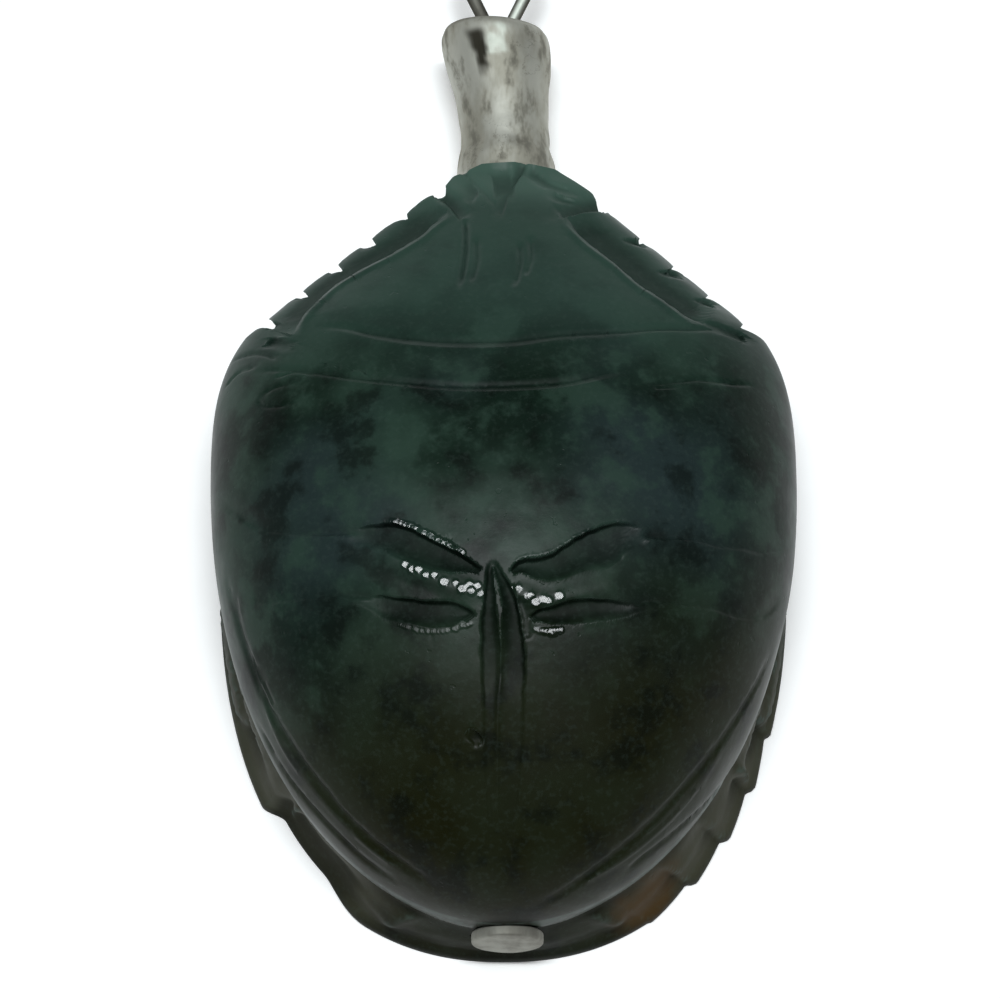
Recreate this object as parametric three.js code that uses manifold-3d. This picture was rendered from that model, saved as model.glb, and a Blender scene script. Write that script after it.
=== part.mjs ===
// Scarab seal: a beetle of green stone, drilled from head to tail, with a flared silver tube on its head
// and a silver pin through the bore that ends in a flat head at the tail and a wire loop beyond the tube.
// Millimetres. The beetle lies on its flat seal face: +Z is up, +Y runs towards its head, and the origin
// is the centre of the seal face.
import * as THREE from 'three';
import { mergeVertices } from 'three/addons/utils/BufferGeometryUtils.js';
import Module from 'manifold-3d';

const wasm = await Module();
wasm.setup();

// Stone, outside
const STONE_LENGTH = 22;
const STONE_WIDTH = 16.1;
const STONE_HEIGHT = 9;
const RIM_HEIGHT_TAIL = 2.9;
const RIM_HEIGHT_SIDE = 3.9;
const FACE_HEIGHT = 4.1;
const RIM_LIP = 0.35;
const BASE_BAND = 0.75;
const BASE_TAIL_STEP = 0.2;

// Bore, seats and fits
const BORE_DIAMETER = 1.1;
const BORE_HEIGHT = 2.1;
const BORE_OFFSET = 0.1;
const FIT_GAP = 0.05;
const TAIL_SEAT_DEPTH = 0.15;
const HEAD_SEAT_DEPTH = 0.05;
const SEAT_MARGIN = 0.12;

// Silver tube
const TUBE_LENGTH = 4.75;
const TUBE_DIAMETER = 2.84;
const TUBE_WALL = 0.35;
const TUBE_LEAN_OFFSET = 0.38;
const TUBE_FLARE = [[0, 1], [0.13, 0.986], [0.26, 0.91], [0.4, 0.895], [0.6, 0.955], [0.78, 1.055],
  [0.92, 1.1], [1, 1.06]];

// Silver pin
const WIRE_DIAMETER = 0.38;
const PIN_HEAD_DIAMETER = 1.95;
const PIN_HEAD_THICKNESS = 0.32;
const PIN_HEAD_EDGE = 0.08;
const LOOP_RADIUS = 1.0;
const LOOP_HALF_ANGLE = 30.6;
const LOOP_SHIFT = -0.24;
const LOOP_RETURN = 1.0;

// Hollows between the legs, and the border line on the seal face
const HOLLOW_DEPTH = 1.15;
const SEAL_BORDER_INSET = 0.9;
const SEAL_BORDER_DEPTH = 0.18;
const SEAL_BORDER_WIDTH = 0.36;

// Fineness of the facets
const SHEET_RINGS = 16;
const EDGE_COUNT = SHEET_RINGS * 8;
const TUBE_SIDES = 28;
const WIRE_SIDES = 10;
const GROOVE_STEP = 0.75;

const HALF_LENGTH = STONE_LENGTH / 2;
const HALF_WIDTH = STONE_WIDTH / 2;
const WIRE_RADIUS = WIRE_DIAMETER / 2;
const HEAD_SEAT_Y = HALF_LENGTH - HEAD_SEAT_DEPTH;
const TAIL_SEAT_Y = -HALF_LENGTH + TAIL_SEAT_DEPTH;
const TUBE_START_Y = HEAD_SEAT_Y + FIT_GAP;
const TUBE_MOUTH_Y = TUBE_START_Y + TUBE_LENGTH;

// The carving is a free form, so its places are shares of the stone: x of the half width, y of the half
// length. The rim behind the widest place is half an ellipse, and the shoulders in front are squarer.
const WIDEST = 0.11;
const SHOULDER_REACH = 0.627;
const SHOULDER = 0.49;
const BASE_SQUARENESS = 2.25;
const CREST = 0.045;
const MUZZLE = 0.965;

const clamp01 = (value) => Math.min(1, Math.max(0, value));
const mix = (from, to, share) => from + (to - from) * share;

// Half width of the back at y, as a share: rim, shoulder, then the slanting sides of the head.
function backHalfWidth(v) {
  if (v < WIDEST) {
    return Math.sqrt(Math.max(0, 1 - ((WIDEST - v) / (WIDEST + 1)) ** 2));
  }
  if (v < SHOULDER) {
    return (1 - ((v - WIDEST) / SHOULDER_REACH) ** 3.2) ** (1 / 2.2);
  }
  const shoulder = (1 - ((SHOULDER - WIDEST) / SHOULDER_REACH) ** 3.2) ** (1 / 2.2);
  const cheek = mix(shoulder, 0.36, clamp01((v - SHOULDER) / (0.86 - SHOULDER)));
  const muzzle = 0.36 * Math.sqrt(Math.max(0, 1 - ((v - 0.86) / (1 - 0.86)) ** 2));
  return v < 0.86 ? cheek : muzzle;
}

// Height of the rim at y, and of the back's ridge above the middle.
function rimHeight(v) {
  return mix(RIM_HEIGHT_TAIL, RIM_HEIGHT_SIDE, clamp01((v + 1) / 1.125));
}

function ridgeHeight(v) {
  if (v < CREST) {
    const t = clamp01((CREST - v) / (CREST + 1));
    return mix(RIM_HEIGHT_TAIL, STONE_HEIGHT, Math.sqrt(1 - t * t));
  }
  return mix(STONE_HEIGHT, FACE_HEIGHT, clamp01((v - CREST) / (MUZZLE - CREST)) ** 1.35);
}

// Height of the uncarved back over the point (x, y) in millimetres.
function backHeight(x, y) {
  const v = y / HALF_LENGTH;
  const across = clamp01(Math.abs(x) / HALF_WIDTH / Math.max(backHalfWidth(v), 1e-4));
  const edge = Math.min(rimHeight(v), ridgeHeight(v));
  return mix(edge, ridgeHeight(v), Math.sqrt(1 - across ** 2.4));
}

function onBack([u, v]) {
  const x = u * HALF_WIDTH;
  const y = v * HALF_LENGTH;
  return new THREE.Vector3(x, y, backHeight(x, y));
}

function backNormal(point) {
  const e = 0.05;
  const slopeX = (backHeight(point.x + e, point.y) - backHeight(point.x - e, point.y)) / (2 * e);
  const slopeY = (backHeight(point.x, point.y + e) - backHeight(point.x, point.y - e)) / (2 * e);
  return new THREE.Vector3(-slopeX, -slopeY, 1).normalize();
}

// Teeth of a foreleg along the slanting side of the head, from the mouth plate to the shoulder on one side
// (1 right, -1 left). Each tooth swells outwards, then drops into a notch.
function foreleg(side, from, to, teeth, notch) {
  const start = new THREE.Vector2(...from);
  const along = new THREE.Vector2(...to).sub(start);
  const length = Math.hypot(along.x * HALF_WIDTH, along.y * HALF_LENGTH);
  const outward = [-side * along.y * HALF_LENGTH / length, side * along.x * HALF_WIDTH / length];
  const points = [];
  for (let i = 0; i < teeth; i += 1) {
    for (const [share, swell] of [[0.05, 0], [0.4, 0.1], [0.86, 0.08], [0.95, -notch]]) {
      const s = (i + share) / teeth;
      points.push([
        start.x + along.x * s + (outward[0] * swell) / HALF_WIDTH,
        start.y + along.y * s + (outward[1] * swell) / HALF_LENGTH,
      ]);
    }
  }
  return points;
}

// One side of the rim from the tail to a shoulder, evenly spaced.
function rimSide(side, shoulder, count) {
  const points = [];
  for (let i = 0; i <= 60; i += 1) {
    const v = WIDEST - (1 + WIDEST) * Math.cos((i / 60) * Math.PI / 2);
    points.push(new THREE.Vector3(side * backHalfWidth(v) * HALF_WIDTH, v * HALF_LENGTH, 0));
  }
  for (let i = 1; i <= 20; i += 1) {
    const v = mix(WIDEST, shoulder, i / 20);
    points.push(new THREE.Vector3(side * backHalfWidth(v) * HALF_WIDTH, v * HALF_LENGTH, 0));
  }
  return new THREE.CatmullRomCurve3(points).getSpacedPoints(count)
    .map((p) => [p.x / HALF_WIDTH, p.y / HALF_LENGTH]);
}

// Outline of the back seen from above, once round from the tail by the right side and the head.
function backOutline() {
  const rightTeeth = foreleg(1, [0.364, 0.843], [0.826, 0.487], 4, 0.16).reverse();
  const leftTeeth = foreleg(-1, [-0.232, 0.893], [-0.818, 0.522], 5, 0.24);
  const clypeus = [[0.36, 0.853], [0.33, 0.888], [0.26, 0.93], [0.18, 0.978], [0.06, 0.995],
    [-0.076, 0.99], [-0.176, 0.953], [-0.205, 0.916], [-0.211, 0.888]];
  const leftGap = [[-0.785, 0.475], [-0.85, 0.5]];
  const head = [...rightTeeth, ...clypeus, ...leftTeeth, ...leftGap];
  const sideCount = EDGE_COUNT - head.length;
  const rightCount = Math.floor(sideCount / 2);
  const right = rimSide(1, 0.48, rightCount).slice(0, rightCount);
  const left = rimSide(-1, 0.485, sideCount - rightCount).reverse().slice(0, sideCount - rightCount);
  return [...right, ...head, ...left];
}

// Closed body from rings of equally many points: skin between the rings and a fan over each end.
function bodyFromRings(rings) {
  const size = rings[0].length;
  const vertices = rings.flat();
  const triangles = [];
  for (let r = 0; r + 1 < rings.length; r += 1) {
    for (let i = 0; i < size; i += 1) {
      const a = r * size + i;
      const b = r * size + ((i + 1) % size);
      triangles.push([a, b, b + size], [a, b + size, a + size]);
    }
  }
  const last = (rings.length - 1) * size;
  for (let i = 1; i + 1 < size; i += 1) {
    triangles.push([0, i + 1, i], [last, last + i, last + i + 1]);
  }
  return bodyFromTriangles(vertices, triangles);
}

// Geometry of a closed body, turned so that its faces point outwards.
function bodyFromTriangles(vertices, triangles) {
  let volume = 0;
  for (const [a, b, c] of triangles) {
    volume += vertices[a].dot(new THREE.Vector3().crossVectors(vertices[b], vertices[c]));
  }
  const ordered = volume > 0 ? triangles : triangles.map(([a, b, c]) => [a, c, b]);
  const geometry = new THREE.BufferGeometry();
  geometry.setAttribute('position', new THREE.BufferAttribute(
    new Float32Array(vertices.flatMap((p) => [p.x, p.y, p.z])), 3));
  geometry.setIndex(ordered.flat());
  return geometry;
}

function solidOf(geometry) {
  const bare = geometry.clone();
  bare.deleteAttribute('normal');
  bare.deleteAttribute('uv');
  const merged = mergeVertices(bare, 1e-4);
  return new wasm.Manifold(new wasm.Mesh({
    numProp: 3,
    vertProperties: new Float32Array(merged.attributes.position.array),
    triVerts: new Uint32Array(merged.index.array),
  }));
}

function geometryOf(solid) {
  const { vertProperties, triVerts } = solid.getMesh();
  const geometry = new THREE.BufferGeometry();
  geometry.setAttribute('position', new THREE.BufferAttribute(new Float32Array(vertProperties), 3));
  geometry.setIndex(new THREE.BufferAttribute(new Uint32Array(triVerts), 1));
  geometry.computeVertexNormals();
  return geometry;
}

// Round bar along +Y at the bore's axis, from y0 to y1.
function barAlongBore(radius, y0, y1, sides) {
  const bar = new THREE.CylinderGeometry(radius, radius, y1 - y0, sides);
  return bar.translate(BORE_OFFSET, (y0 + y1) / 2, BORE_HEIGHT);
}

// The uncarved stone: the back as a sheet of nested rings, then the side wall, then the seal face.
function stoneBlank() {
  const outline = backOutline();
  const vertices = [onBack([0, 0])];
  const ringStart = [0];
  for (let k = 1; k <= SHEET_RINGS; k += 1) {
    ringStart.push(vertices.length);
    const reach = Math.sin((k / SHEET_RINGS) * Math.PI / 2);
    for (let j = 0; j < 8 * k; j += 1) {
      const place = (j * SHEET_RINGS) / k;
      const index = Math.floor(place);
      const [u0, v0] = outline[index % EDGE_COUNT];
      const [u1, v1] = outline[(index + 1) % EDGE_COUNT];
      vertices.push(onBack([mix(u0, u1, place - index) * reach, mix(v0, v1, place - index) * reach]));
    }
  }
  const triangles = [];
  for (let j = 0; j < 8; j += 1) {
    triangles.push([0, 1 + j, 1 + ((j + 1) % 8)]);
  }
  for (let k = 1; k < SHEET_RINGS; k += 1) {
    const inner = (j) => ringStart[k] + (j % (8 * k));
    const outer = (j) => ringStart[k + 1] + (j % (8 * (k + 1)));
    for (let part = 0; part < 8; part += 1) {
      for (let j = 0; j < k; j += 1) {
        const i = part * k + j;
        const o = part * (k + 1) + j;
        triangles.push([inner(i), outer(o), outer(o + 1)], [inner(i), outer(o + 1), inner(i + 1)]);
      }
      const i = (part + 1) * k;
      const o = (part + 1) * (k + 1);
      triangles.push([inner(i), outer(o - 1), outer(o)]);
    }
  }
  let above = ringStart[SHEET_RINGS];
  for (const row of wallRows(outline)) {
    const below = vertices.length;
    vertices.push(...row);
    for (let j = 0; j < EDGE_COUNT; j += 1) {
      const next = (j + 1) % EDGE_COUNT;
      triangles.push([above + j, below + j, below + next], [above + j, below + next, above + next]);
    }
    above = below;
  }
  const centre = vertices.length;
  vertices.push(new THREE.Vector3(0, 0, 0));
  for (let j = 0; j < EDGE_COUNT; j += 1) {
    triangles.push([centre, above + ((j + 1) % EDGE_COUNT), above + j]);
  }
  return bodyFromTriangles(vertices, triangles);
}

// Edge of the seal face in the direction of an angle: an ellipse in front, squarer and longer at the tail.
function baseEdge(angle) {
  const across = Math.cos(angle);
  const along = Math.sin(angle);
  if (along > 0) {
    return new THREE.Vector3(across * (HALF_WIDTH - 0.1), along * HALF_LENGTH, 0);
  }
  const power = 2 / BASE_SQUARENESS;
  return new THREE.Vector3(Math.sign(across) * Math.abs(across) ** power * (HALF_WIDTH - 0.1),
    -(Math.abs(along) ** power) * (HALF_LENGTH + BASE_TAIL_STEP), 0);
}

// Rows of the side wall, from the rim down: lip, undercut, the swell of the legs, and the base band.
function wallRows(outline) {
  const rows = [[], [], [], [], [], []];
  for (const [u, v] of outline) {
    const rim = onBack([u, v]);
    const angle = Math.atan2(rim.y / HALF_LENGTH, rim.x / HALF_WIDTH);
    const base = baseEdge(angle);
    const undercut = 1 - mix(0.015, 0.05, Math.abs(Math.cos(angle)));
    const lipHeight = rim.z - RIM_LIP;
    const place = (share, scale, height) => new THREE.Vector3(
      mix(rim.x, base.x, share) * scale, mix(rim.y, base.y, share) * scale, height);
    rows[0].push(place(0, 1, lipHeight));
    rows[1].push(place(0.2, undercut, mix(lipHeight, BASE_BAND, 0.16)));
    rows[2].push(place(0.6, mix(1, undercut, 0.4), mix(lipHeight, BASE_BAND, 0.6)));
    rows[3].push(place(1, 0.985, BASE_BAND + 0.12));
    rows[4].push(place(1, 1, BASE_BAND - 0.12));
    rows[5].push(base);
  }
  return rows;
}

// V-shaped cut along a line on the back. The width follows shape(t) from one end to the other.
function groove(line, width, depth, shape = () => 1) {
  const curve = new THREE.CatmullRomCurve3(line.map(([u, v]) => (
    new THREE.Vector3(u * HALF_WIDTH, v * HALF_LENGTH, 0))));
  const steps = Math.max(4, Math.ceil(curve.getLength() / GROOVE_STEP));
  const lift = 0.35;
  const rings = curve.getSpacedPoints(steps).map((flat, i) => {
    const t = i / steps;
    const size = Math.max(0.12, shape(t));
    const tangent = curve.getTangentAt(t);
    const centre = new THREE.Vector3(flat.x, flat.y, backHeight(flat.x, flat.y));
    const normal = backNormal(centre);
    const side = new THREE.Vector3().crossVectors(normal, tangent).normalize();
    const spread = (width / 2) * size * (1 + lift / (depth * size));
    return [
      centre.clone().addScaledVector(side, spread).addScaledVector(normal, lift),
      centre.clone().addScaledVector(normal, -depth * size),
      centre.clone().addScaledVector(side, -spread).addScaledVector(normal, lift),
    ];
  });
  return bodyFromRings(rings);
}

// Ledge along a line on the back: on its outer side (1 left of the line, -1 right) the surface drops by
// depth, and keeps most of that drop out to reach.
function ledge(line, reach, depth, outerSide) {
  const curve = new THREE.CatmullRomCurve3(line.map(([u, v]) => (
    new THREE.Vector3(u * HALF_WIDTH, v * HALF_LENGTH, 0))));
  const steps = Math.ceil(curve.getLength() / GROOVE_STEP);
  const lift = 0.5;
  const rings = curve.getSpacedPoints(steps).map((flat, i) => {
    const t = i / steps;
    const drop = depth * Math.min(1, 0.15 + 4 * Math.min(t, 1 - t));
    const tangent = curve.getTangentAt(t);
    const side = new THREE.Vector3(-tangent.y, tangent.x, 0).multiplyScalar(outerSide);
    const above = (distance, height) => {
      const x = flat.x + side.x * distance;
      const y = flat.y + side.y * distance;
      return new THREE.Vector3(x, y, backHeight(x, y) + height);
    };
    return [above(0, lift), above(0.08, -drop), above(reach / 2, -drop), above(reach, -drop * 0.7),
      above(reach, lift)];
  });
  return bodyFromRings(rings);
}

const lens = (t) => Math.sin(Math.PI * Math.min(1, Math.max(0, t))) ** 0.7;
const fadeOut = (t) => 1 - 0.75 * t;
const endsTapered = (t) => Math.min(1, 6 * Math.min(t, 1 - t) + 0.2);

// Line inside the rim of the wing cases, from beside the waist to the tail.
function marginLine(side, inset, from, to) {
  const points = [];
  for (let i = 0; i <= 10; i += 1) {
    const angle = mix(from, to, i / 10);
    const scale = 1 - inset * (0.25 + 0.75 * Math.sin(Math.PI * (i / 10)));
    points.push([side * Math.sin(angle) * scale, WIDEST - (1 + WIDEST) * Math.cos(angle) * scale]);
  }
  return points;
}

// The carved lines of the back.
function carvedLines() {
  const neckLine = [[-0.53, 0.43], [-0.43, 0.405], [-0.34, 0.375], [-0.12, 0.36], [0.1, 0.378],
    [0.33, 0.404], [0.5, 0.423], [0.67, 0.445], [0.8, 0.47]];
  const shieldLine = [[-0.82, 0.334], [-0.66, 0.307], [-0.47, 0.265], [-0.205, 0.229], [0, 0.225],
    [0.21, 0.242], [0.41, 0.285]];
  const shieldLineRight = [[0.49, 0.242], [0.66, 0.281], [0.85, 0.303]];
  const cuts = [
    groove(neckLine, 0.34, 0.2, endsTapered),
    groove(shieldLine, 0.38, 0.2, endsTapered),
    groove(shieldLineRight, 0.22, 0.09, endsTapered),
  ];

  // Wing line and waist line on each side: a deep leaf-shaped cut near the middle and a thin line outwards.
  const leaves = [
    [[-0.44, -0.14], [-0.365, -0.142], [-0.3, -0.17], [-0.26, -0.2], [-0.19, -0.225], [-0.115, -0.248],
      [-0.065, -0.256]],
    [[-0.35, -0.345], [-0.26, -0.353], [-0.2, -0.355], [-0.14, -0.36], [-0.1, -0.365]],
    [[0.43, -0.157], [0.347, -0.17], [0.27, -0.2], [0.22, -0.228], [0.15, -0.248], [0.09, -0.25],
      [0.025, -0.257]],
    [[0.34, -0.355], [0.26, -0.352], [0.2, -0.356], [0.145, -0.365], [0.085, -0.374]],
  ];
  const thinLines = [
    [[-0.41, -0.132], [-0.53, -0.14], [-0.63, -0.121], [-0.73, -0.1], [-0.81, -0.075], [-0.9, -0.02],
      [-0.96, 0.03]],
    [[-0.33, -0.338], [-0.43, -0.306], [-0.525, -0.294], [-0.69, -0.289], [-0.825, -0.264]],
    [[0.41, -0.147], [0.486, -0.151], [0.565, -0.161], [0.673, -0.146], [0.785, -0.145], [0.863, -0.136],
      [0.94, -0.094], [0.985, -0.03]],
    [[0.31, -0.358], [0.455, -0.335], [0.564, -0.32], [0.67, -0.31], [0.747, -0.307], [0.845, -0.286],
      [0.89, -0.26], [0.955, -0.18]],
  ];
  leaves.forEach((line) => cuts.push(groove(line, 0.62, 0.34, lens)));
  thinLines.forEach((line) => cuts.push(groove(line, 0.26, 0.1, fadeOut)));

  // Seam between the wing cases: a narrow wedge that opens below the meeting of the wing lines.
  const seam = [[-0.042, -0.233], [-0.015, -0.32], [-0.02, -0.45], [-0.02, -0.66], [-0.015, -0.84],
    [-0.012, -0.95]];
  cuts.push(groove(seam, 0.85, 0.2, (t) => 0.15 + 0.85 * lens(Math.min(1, t * 1.6 + 0.05) / 1.05)));

  // Channel inside the rim of the wing cases.
  cuts.push(groove(marginLine(-1, 0.085, 1.4, 0.16), 0.5, 0.16, endsTapered));
  cuts.push(groove(marginLine(1, 0.055, 1.0, 0.12), 0.4, 0.12, endsTapered));

  // Cheeks: the head stands above the forelegs, which lie a step lower.
  cuts.push(ledge([[-0.225, 0.785], [-0.294, 0.73], [-0.383, 0.68], [-0.484, 0.636], [-0.575, 0.589],
    [-0.642, 0.532], [-0.684, 0.483]], 1.3, 0.4, -1));
  cuts.push(ledge([[0.235, 0.77], [0.289, 0.713], [0.38, 0.642], [0.457, 0.576], [0.538, 0.529],
    [0.614, 0.48], [0.682, 0.451]], 1.5, 0.4, 1));

  // Pairs of lines down the forehead.
  for (const line of [[-0.135, 0.77, 0.539], [-0.1, 0.69, 0.56], [0.052, 0.664, 0.538], [0.09, 0.69, 0.573]]) {
    cuts.push(groove([[line[0], line[1]], [line[0] - 0.004, (line[1] + line[2]) / 2],
      [line[0] - 0.012, line[2]]], 0.22, 0.08, endsTapered));
  }

  // Corners of the mouth plate, and the facets on its front.
  cuts.push(groove([[0.4, 0.872], [0.3, 0.846], [0.21, 0.835]], 0.3, 0.16, fadeOut));
  cuts.push(groove([[-0.25, 0.9], [-0.2, 0.872], [-0.16, 0.835]], 0.34, 0.2, fadeOut));
  cuts.push(groove([[-0.02, 0.81], [-0.05, 0.9], [-0.09, 0.99]], 0.3, 0.1, endsTapered));
  return cuts;
}

// Hollows between the legs on one side wall, each a leaning triangle in side view.
function legHollows(side) {
  const hollows = [
    [[0.5, 0.32], [0.13, 0.32], [0.33, 0.74]],
    [[0.02, 0.78], [-0.1, 0.32], [-0.33, 0.32]],
    [[-0.36, 0.8], [-0.5, 0.34], [-0.74, 0.34]],
  ];
  return hollows.map((corners) => {
    const centreV = (corners[0][0] + corners[1][0] + corners[2][0]) / 3;
    const wall = Math.sqrt(1 - centreV ** 2) * HALF_WIDTH;
    const inner = corners.map(([v, h]) => new THREE.Vector3(
      side * (wall - HOLLOW_DEPTH), mix(v, centreV, 0.4) * HALF_LENGTH, mix(h, 0.5, 0.4) * RIM_HEIGHT_SIDE));
    const outer = corners.map(([v, h]) => new THREE.Vector3(
      side * (wall + 1), v * HALF_LENGTH, h * RIM_HEIGHT_SIDE));
    return bodyFromRings([inner, outer]);
  });
}

// Border line cut into the seal face.
function sealBorder() {
  const rings = [];
  const count = 56;
  for (let i = 0; i <= count; i += 1) {
    const angle = (i / count) * Math.PI * 2;
    const across = baseEdge(angle);
    const centre = across.clone().multiplyScalar(SEAL_BORDER_INSET);
    const out = across.clone().normalize().multiplyScalar(SEAL_BORDER_WIDTH / 2);
    rings.push([
      centre.clone().add(new THREE.Vector3(0, 0, SEAL_BORDER_DEPTH)),
      centre.clone().addScaledVector(out, 2).add(new THREE.Vector3(0, 0, -SEAL_BORDER_DEPTH)),
      centre.clone().addScaledVector(out, -2).add(new THREE.Vector3(0, 0, -SEAL_BORDER_DEPTH)),
    ]);
  }
  return ringBody(rings.slice(0, count));
}

// Closed body from rings that follow each other round a loop, with no ends.
function ringBody(rings) {
  const size = rings[0].length;
  const triangles = [];
  for (let r = 0; r < rings.length; r += 1) {
    for (let i = 0; i < size; i += 1) {
      const a = r * size + i;
      const b = r * size + ((i + 1) % size);
      const shift = r + 1 < rings.length ? size : size - rings.length * size;
      triangles.push([a, b, b + shift], [a, b + shift, a + shift]);
    }
  }
  return bodyFromTriangles(rings.flat(), triangles);
}

function scarabStone() {
  let stone = solidOf(stoneBlank());
  const tubeSeatRadius = TUBE_DIAMETER / 2 + SEAT_MARGIN;
  const headSeatRadius = PIN_HEAD_DIAMETER / 2 + SEAT_MARGIN;
  const cuts = [
    ...carvedLines(),
    ...legHollows(1),
    ...legHollows(-1),
    sealBorder(),
    barAlongBore(BORE_DIAMETER / 2, -HALF_LENGTH - 2, HALF_LENGTH + 2, 20),
    barAlongBore(tubeSeatRadius, HEAD_SEAT_Y, HEAD_SEAT_Y + 2, TUBE_SIDES),
    barAlongBore(headSeatRadius, TAIL_SEAT_Y - 2, TAIL_SEAT_Y, 24),
  ];
  cuts.forEach((cut) => {
    stone = stone.subtract(solidOf(cut));
  });
  return geometryOf(stone);
}

// Sideways place of the tube's middle at a share of its length: it leans to the left towards its mouth.
function tubeMiddle(share) {
  return BORE_OFFSET - TUBE_LEAN_OFFSET * share ** 1.8;
}

function silverTube() {
  const radius = TUBE_DIAMETER / 2;
  const outer = TUBE_FLARE.map(([share, flare]) => new THREE.Vector2(radius * flare, share * TUBE_LENGTH));
  const inner = TUBE_FLARE.map(([share, flare]) => (
    new THREE.Vector2(radius * flare - TUBE_WALL, share * TUBE_LENGTH))).reverse();
  const tube = new THREE.LatheGeometry([...outer, ...inner, outer[0].clone()], TUBE_SIDES);
  const position = tube.attributes.position;
  for (let i = 0; i < position.count; i += 1) {
    const y = position.getY(i);
    position.setX(i, position.getX(i) + tubeMiddle(y / TUBE_LENGTH));
  }
  tube.translate(0, TUBE_START_Y, BORE_HEIGHT);
  return geometryOf(solidOf(tube));
}

// Middle line of the wire from the pin's head through the bore, round the loop and back into the tube.
function pinPath() {
  const middle = BORE_OFFSET + LOOP_SHIFT;
  const halfGap = WIRE_RADIUS * 0.88;
  const angle = THREE.MathUtils.degToRad(LOOP_HALF_ANGLE);
  const forkY = TUBE_MOUTH_Y + 0.05;
  const centreY = forkY + LOOP_RADIUS / Math.sin(angle);
  const place = (x, y) => new THREE.Vector3(x, y, BORE_HEIGHT);
  const path = [
    place(BORE_OFFSET, TAIL_SEAT_Y - FIT_GAP - PIN_HEAD_THICKNESS / 2),
    place(BORE_OFFSET, forkY - LOOP_RETURN - 1.5),
    place(mix(BORE_OFFSET, middle + halfGap, 0.5), forkY - LOOP_RETURN - 0.7),
    place(middle + halfGap, forkY - LOOP_RETURN),
    place(middle + halfGap, forkY),
  ];
  const turns = 22;
  for (let i = 0; i <= turns; i += 1) {
    const a = mix(-angle, Math.PI + angle, i / turns);
    path.push(place(middle + LOOP_RADIUS * Math.cos(a), centreY + LOOP_RADIUS * Math.sin(a)));
  }
  path.push(place(middle - halfGap, forkY), place(middle - halfGap, forkY - LOOP_RETURN));
  return path;
}

function silverHeadpin() {
  const path = pinPath();
  const rings = path.map((point, i) => {
    const before = path[Math.max(0, i - 1)];
    const after = path[Math.min(path.length - 1, i + 1)];
    const tangent = after.clone().sub(before).normalize();
    const side = new THREE.Vector3(tangent.y, -tangent.x, 0);
    const ring = [];
    for (let j = 0; j < WIRE_SIDES; j += 1) {
      const a = (j / WIRE_SIDES) * Math.PI * 2;
      ring.push(point.clone().addScaledVector(side, WIRE_RADIUS * Math.cos(a))
        .add(new THREE.Vector3(0, 0, WIRE_RADIUS * Math.sin(a))));
    }
    return ring;
  });
  const radius = PIN_HEAD_DIAMETER / 2;
  const head = new THREE.LatheGeometry([
    new THREE.Vector2(0, 0),
    new THREE.Vector2(radius - PIN_HEAD_EDGE, 0),
    new THREE.Vector2(radius, PIN_HEAD_EDGE),
    new THREE.Vector2(radius, PIN_HEAD_THICKNESS - PIN_HEAD_EDGE),
    new THREE.Vector2(radius - PIN_HEAD_EDGE, PIN_HEAD_THICKNESS),
    new THREE.Vector2(0, PIN_HEAD_THICKNESS),
  ], 24);
  head.translate(BORE_OFFSET, TAIL_SEAT_Y - FIT_GAP - PIN_HEAD_THICKNESS, BORE_HEIGHT);
  return geometryOf(solidOf(bodyFromRings(rings)).add(solidOf(head)));
}

function piece(name, geometry, color, roughness, metalness) {
  const mesh = new THREE.Mesh(geometry, new THREE.MeshStandardMaterial({ color, roughness, metalness }));
  mesh.name = name;
  return mesh;
}

const group = new THREE.Group();
group.add(piece('scarab_stone', scarabStone(), 0x2b3a33, 0.25, 0));
group.add(piece('silver_tube', silverTube(), 0xa9a79c, 0.4, 1));
group.add(piece('silver_headpin', silverHeadpin(), 0xc0c2bf, 0.35, 1));

export default group;
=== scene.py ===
import logging
import math
from dataclasses import dataclass, field
from enum import Enum

import bpy
import numpy as np
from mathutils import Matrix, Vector, noise


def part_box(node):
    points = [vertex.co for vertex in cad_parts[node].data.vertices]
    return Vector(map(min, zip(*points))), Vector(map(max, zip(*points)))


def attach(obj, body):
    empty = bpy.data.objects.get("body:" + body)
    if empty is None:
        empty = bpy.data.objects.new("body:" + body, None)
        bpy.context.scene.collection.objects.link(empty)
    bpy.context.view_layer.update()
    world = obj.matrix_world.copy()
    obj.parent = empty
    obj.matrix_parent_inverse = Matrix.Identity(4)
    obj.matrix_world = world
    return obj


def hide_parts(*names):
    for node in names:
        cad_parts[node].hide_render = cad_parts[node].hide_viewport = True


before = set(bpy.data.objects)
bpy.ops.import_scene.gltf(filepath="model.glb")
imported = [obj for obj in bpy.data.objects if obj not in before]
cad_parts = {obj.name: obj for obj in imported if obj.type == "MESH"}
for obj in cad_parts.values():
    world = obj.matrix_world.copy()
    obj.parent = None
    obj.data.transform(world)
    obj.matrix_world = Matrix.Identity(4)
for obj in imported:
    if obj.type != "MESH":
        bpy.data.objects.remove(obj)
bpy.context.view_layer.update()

LOG = logging.getLogger("scarab_seal")
MM = 0.001
# A node's soft ramp between two values, with no edge where it starts or ends.
EASED = {"interpolation_type": "SMOOTHSTEP"}

Share = tuple[float, float]
Array = np.ndarray

# Outline of a foreleg's tooth: share along it, and how far it swells out in millimetres. The notch
# comes after it, at its own share.
TOOTH = ((0.05, 0.0), (0.2, 0.08), (0.45, 0.12), (0.7, 0.11), (0.88, 0.06))
NOTCH_SHARE = 0.96
# Where the cells along the rim begin on the flat grid, whose edge is 1.
RIM_CELLS = 0.97


def mix(start: float, end: float, share: float) -> float:
    """Returns the value at a share of the way from start to end."""
    return start + (end - start) * share


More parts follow.
